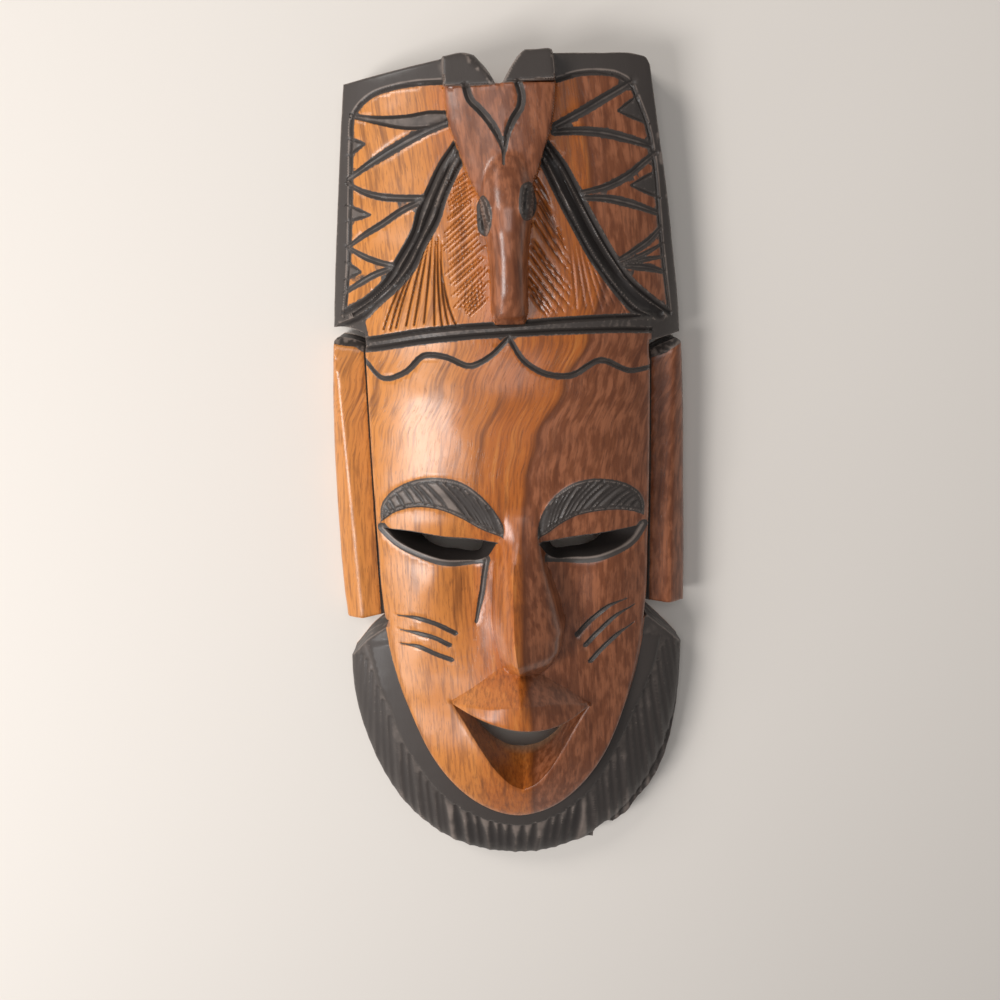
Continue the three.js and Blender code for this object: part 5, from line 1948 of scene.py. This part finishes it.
@dataclass(frozen=True)
class StainedWood:
    """Polished red-brown hardwood with charcoal stain in the carving, and bare rough wood behind."""

    # Golden: the grain's light streaks, and across the left side partly the wood's own colour, partly painted
    # light
    golden: Colour = (0.55, 0.205, 0.045)
    warm: Colour = (0.37, 0.098, 0.014)
    # The dusky wood past the edge: partly heartwood, partly painted shade
    heart_and_shade: Colour = (0.155, 0.047, 0.019)
    rosy: Colour = (0.285, 0.100, 0.046)
    shade: Colour = (0.085, 0.021, 0.006)
    # Dark pores, and the painted shade in the unstained cuts
    pore: Colour = (0.050, 0.016, 0.006)
    stain: Colour = (0.040, 0.030, 0.025)
    # Near-black: painted shade in the deepest cuts and in the eye openings
    depth: Colour = (0.014, 0.009, 0.007)
    # Rubbed stain; on ridges it is also a painted highlight
    worn: Colour = (0.20, 0.155, 0.13)
    raw: Colour = (0.36, 0.20, 0.11)

    def material(self) -> Material:
        """The material. It reads the values that the mask stores on its mesh."""
        material, nodes = new_material("stained_wood")
        grain = self.grain(nodes)
        stained = 1.0 - nodes.share(self.swayed(nodes, "stain", grain, 0.4), -0.15, 0.15)
        colour = nodes.blend(stained, self.wood(nodes, grain), self.charcoal(nodes, grain))
        rough = stained * 0.33 + 0.27 + nodes.attribute("behind") * 0.35 + grain["fibres"] * 0.12
        height = grain["fibres"] * 0.5 - grain["flecks"]
        bump = nodes.add("ShaderNodeBump", {"Strength": 0.15, "Distance": 0.0003, "Height": height})
        shader = nodes.add("ShaderNodeBsdfPrincipled", {
            "Base Color": colour, "Roughness": rough, "Normal": bump,
            "Coat Weight": 0.25, "Coat Roughness": 0.22,
        })
        nodes.add("ShaderNodeOutputMaterial", {"Surface": shader})
        return material

    @staticmethod
    def grain(nodes: Nodes) -> Signals:
        """Noises on the wood, most of them drawn out along it, by name."""
        place = nodes.add("ShaderNodeSeparateXYZ", {0: nodes.add("ShaderNodeTexCoord").outputs["Object"]})
        found = {"across": nodes.signal(place)}
        along = {"X": nodes.attribute("figure"), "Y": place.outputs[1], "Z": place.outputs[2]}
        figure = nodes.add("ShaderNodeCombineXYZ", along)
        for name, scale, detail in (
            ("bands", (55, 5, 55), 3),
            ("streaks", (360, 28, 160), 4),
            ("fibres", (1100, 85, 500), 4),
            ("flecks", (2600, 260, 1500), 2),
            ("blotch", (900, 900, 900), 3),
            ("patches", (240, 240, 240), 4),
            ("mottle", (420, 130, 420), 5),
        ):
            drawn = nodes.add("ShaderNodeMapping", {"Vector": figure, "Scale": scale})
            chance = nodes.add("ShaderNodeTexNoise", {"Vector": drawn, "Scale": 1.0, "Detail": detail})
            found[name] = nodes.signal(chance)
        found["flecks"] = nodes.share(found["flecks"], 0.60, 0.70)
        return found

    @staticmethod
    def swayed(nodes: Nodes, name: str, grain: Signals, amount: float, by: str = "blotch") -> Signal:
        """A value of the mesh, made uneven by one of the noises."""
        return nodes.attribute(name) + (grain[by] - 0.5) * amount

    def wood(self, nodes: Nodes, grain: Signals) -> Signal:
        """The bare wood: golden at the left, red-brown in the middle, dusky past the heartwood's edge. The
        golden left is partly painted light, and the dusky right is partly painted shade.
        """
        across = grain["across"] + (grain["bands"] - 0.5) * 0.06
        # Golden at the left to red-brown in the middle, by place: partly the wood's own colour, partly
        # painted light on the left side
        wood = nodes.blend(nodes.share(across, -0.045, 0.006), self.golden, self.warm)
        # Past this edge the wood turns dusky: partly heartwood, partly painted shade
        edge = self.swayed(nodes, "heart_and_shade", grain, 0.6, "bands")
        edge_line = nodes.math("SUBTRACT", 1.0, nodes.math("ABSOLUTE", edge) * 4.5, clamp=True)
        dusk_and_shade = nodes.blend(nodes.share(grain["mottle"], 0.40, 0.60), self.heart_and_shade, self.rosy)
        for share, colour in (
            (nodes.share(grain["streaks"], 0.55, 0.72) * 0.45, self.golden),
            (nodes.share(grain["fibres"], 0.46, 0.30) * 0.25, self.golden),
            (nodes.share(edge, -0.1, 0.12) * 0.9, dusk_and_shade),
            (edge_line * 0.8, self.shade),
            (nodes.share(grain["streaks"], 0.47, 0.30) * 0.5, self.shade),
            (nodes.share(grain["fibres"], 0.46, 0.66) * 0.4, self.shade),
            (grain["flecks"] * 0.35, self.pore),
            # Painted shade: the unstained cuts darkened by their depth
            (nodes.share(nodes.attribute("cut"), 0.12, 0.7) * 0.8, self.pore),
        ):
            wood = nodes.blend(share, wood, colour)
        raw_shade = tuple(c * 0.62 for c in self.raw)
        raw = nodes.blend(nodes.share(grain["fibres"], 0.3, 0.7), self.raw, raw_shade)
        return nodes.blend(nodes.attribute("behind"), wood, raw)

    def charcoal(self, nodes: Nodes, grain: Signals) -> Signal:
        """The stain: painted darker in the depths as shade, and worn off the ridges, where the lighter colour
        is also partly a painted highlight.
        """
        # Painted shade: the stain darkens with the depth of the cut
        dark = nodes.blend(nodes.share(nodes.attribute("cut"), 0.3, 1.3), self.stain, self.depth)
        # Ridges lighter: partly worn stain, partly a painted highlight
        ridge = nodes.share(self.swayed(nodes, "worn", grain, 0.7), 0.4, 1.0) * 0.7
        rubbed = nodes.share(self.swayed(nodes, "bare", grain, 0.6, "patches"), 0.1, 0.9)
        return nodes.blend(rubbed, nodes.blend(ridge, dark, self.worn), self.worn)


@dataclass(frozen=True)
class PaleFloor:
    """A plain pale floor."""

    colour: Colour = (0.66, 0.61, 0.56)

    def material(self) -> Material:
        """The material."""
        material, nodes = new_material("pale_floor")
        shader = nodes.add("ShaderNodeBsdfPrincipled", {"Base Color": (*self.colour, 1.0), "Roughness": 0.85})
        nodes.add("ShaderNodeOutputMaterial", {"Surface": shader})
        return material


@dataclass(frozen=True)
class Lamp:
    """An oblong soft light that points at the mask."""

    name: str
    place: tuple[float, float, float]
    width: float
    height: float
    watts: float
    colour: Colour = (1.0, 1.0, 1.0)

    def build(self) -> None:
        """Sets it up."""
        light = bpy.data.lights.new(self.name, "AREA")
        light.shape = "RECTANGLE"
        light.size = self.width
        light.size_y = self.height
        light.energy = self.watts
        light.color = self.colour
        lamp = new_object(self.name, light)
        lamp.location = self.place
        lamp.rotation_euler = (-Vector(self.place)).to_track_quat("-Z", "Y").to_euler()


@dataclass(frozen=True)
class Studio:
    """Floor, lights, and a camera that looks at the lying mask as the photograph does."""

    floor_size: float = 6.0
    eye: tuple[float, float, float] = (-4.4, 114.0, 406.0)
    tilt: float = 16.2
    roll: float = -1.75
    lens: float = 38.52

    def build(self) -> None:
        """Sets up the studio."""
        h = self.floor_size / 2
        corners = [(-h, -h, 0), (h, -h, 0), (h, h, 0), (-h, h, 0)]
        floor = new_mesh("floor", corners, faces=[(0, 1, 2, 3)])
        floor.data.materials.append(PaleFloor().material())
        world = bpy.data.worlds.new("studio")
        world.use_nodes = True
        nodes = Nodes(world.node_tree)
        sky = nodes.add("ShaderNodeBackground", {"Color": (0.95, 0.97, 1.0, 1.0), "Strength": 0.24})
        nodes.add("ShaderNodeOutputWorld", {"Surface": sky})
        bpy.context.scene.world = world
        bpy.context.scene.view_settings.view_transform = "Standard"
        for lamp in (
            Lamp("key", (-0.60, 0.62, 0.62), 0.3, 0.3, 4.0, (1.0, 0.98, 0.95)),
            Lamp("window", (-0.62, -0.14, 0.72), 0.28, 0.42, 5.8),
            Lamp("side", (-0.80, -0.36, 0.46), 0.3, 0.3, 1.6),
            Lamp("fill", (-0.02, 0.30, 0.92), 0.45, 0.45, 2.1),
        ):
            lamp.build()
        self.camera()

    def camera(self) -> None:
        """Places the camera."""
        tilt = Matrix.Rotation(-math.radians(self.tilt), 4, "X")
        roll = Matrix.Rotation(math.radians(self.roll), 4, "Z")
        data = bpy.data.cameras.new("camera")
        data.lens = self.lens
        data.sensor_width = 36.0
        data.clip_start = 0.01
        camera = new_object("camera", data)
        camera.matrix_world = Matrix.Translation(Vector(self.eye) * MM) @ tilt @ roll
        bpy.context.scene.camera = camera


def main() -> None:
    """Builds the mask in its studio."""
    logging.basicConfig(level=logging.INFO, format="%(name)s: %(message)s")
    mask = CarvedMask().build(StainedWood().material())
    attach(mask, "root")
    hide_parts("mask")
    Studio().build()


if __name__ == "__main__":
    main()
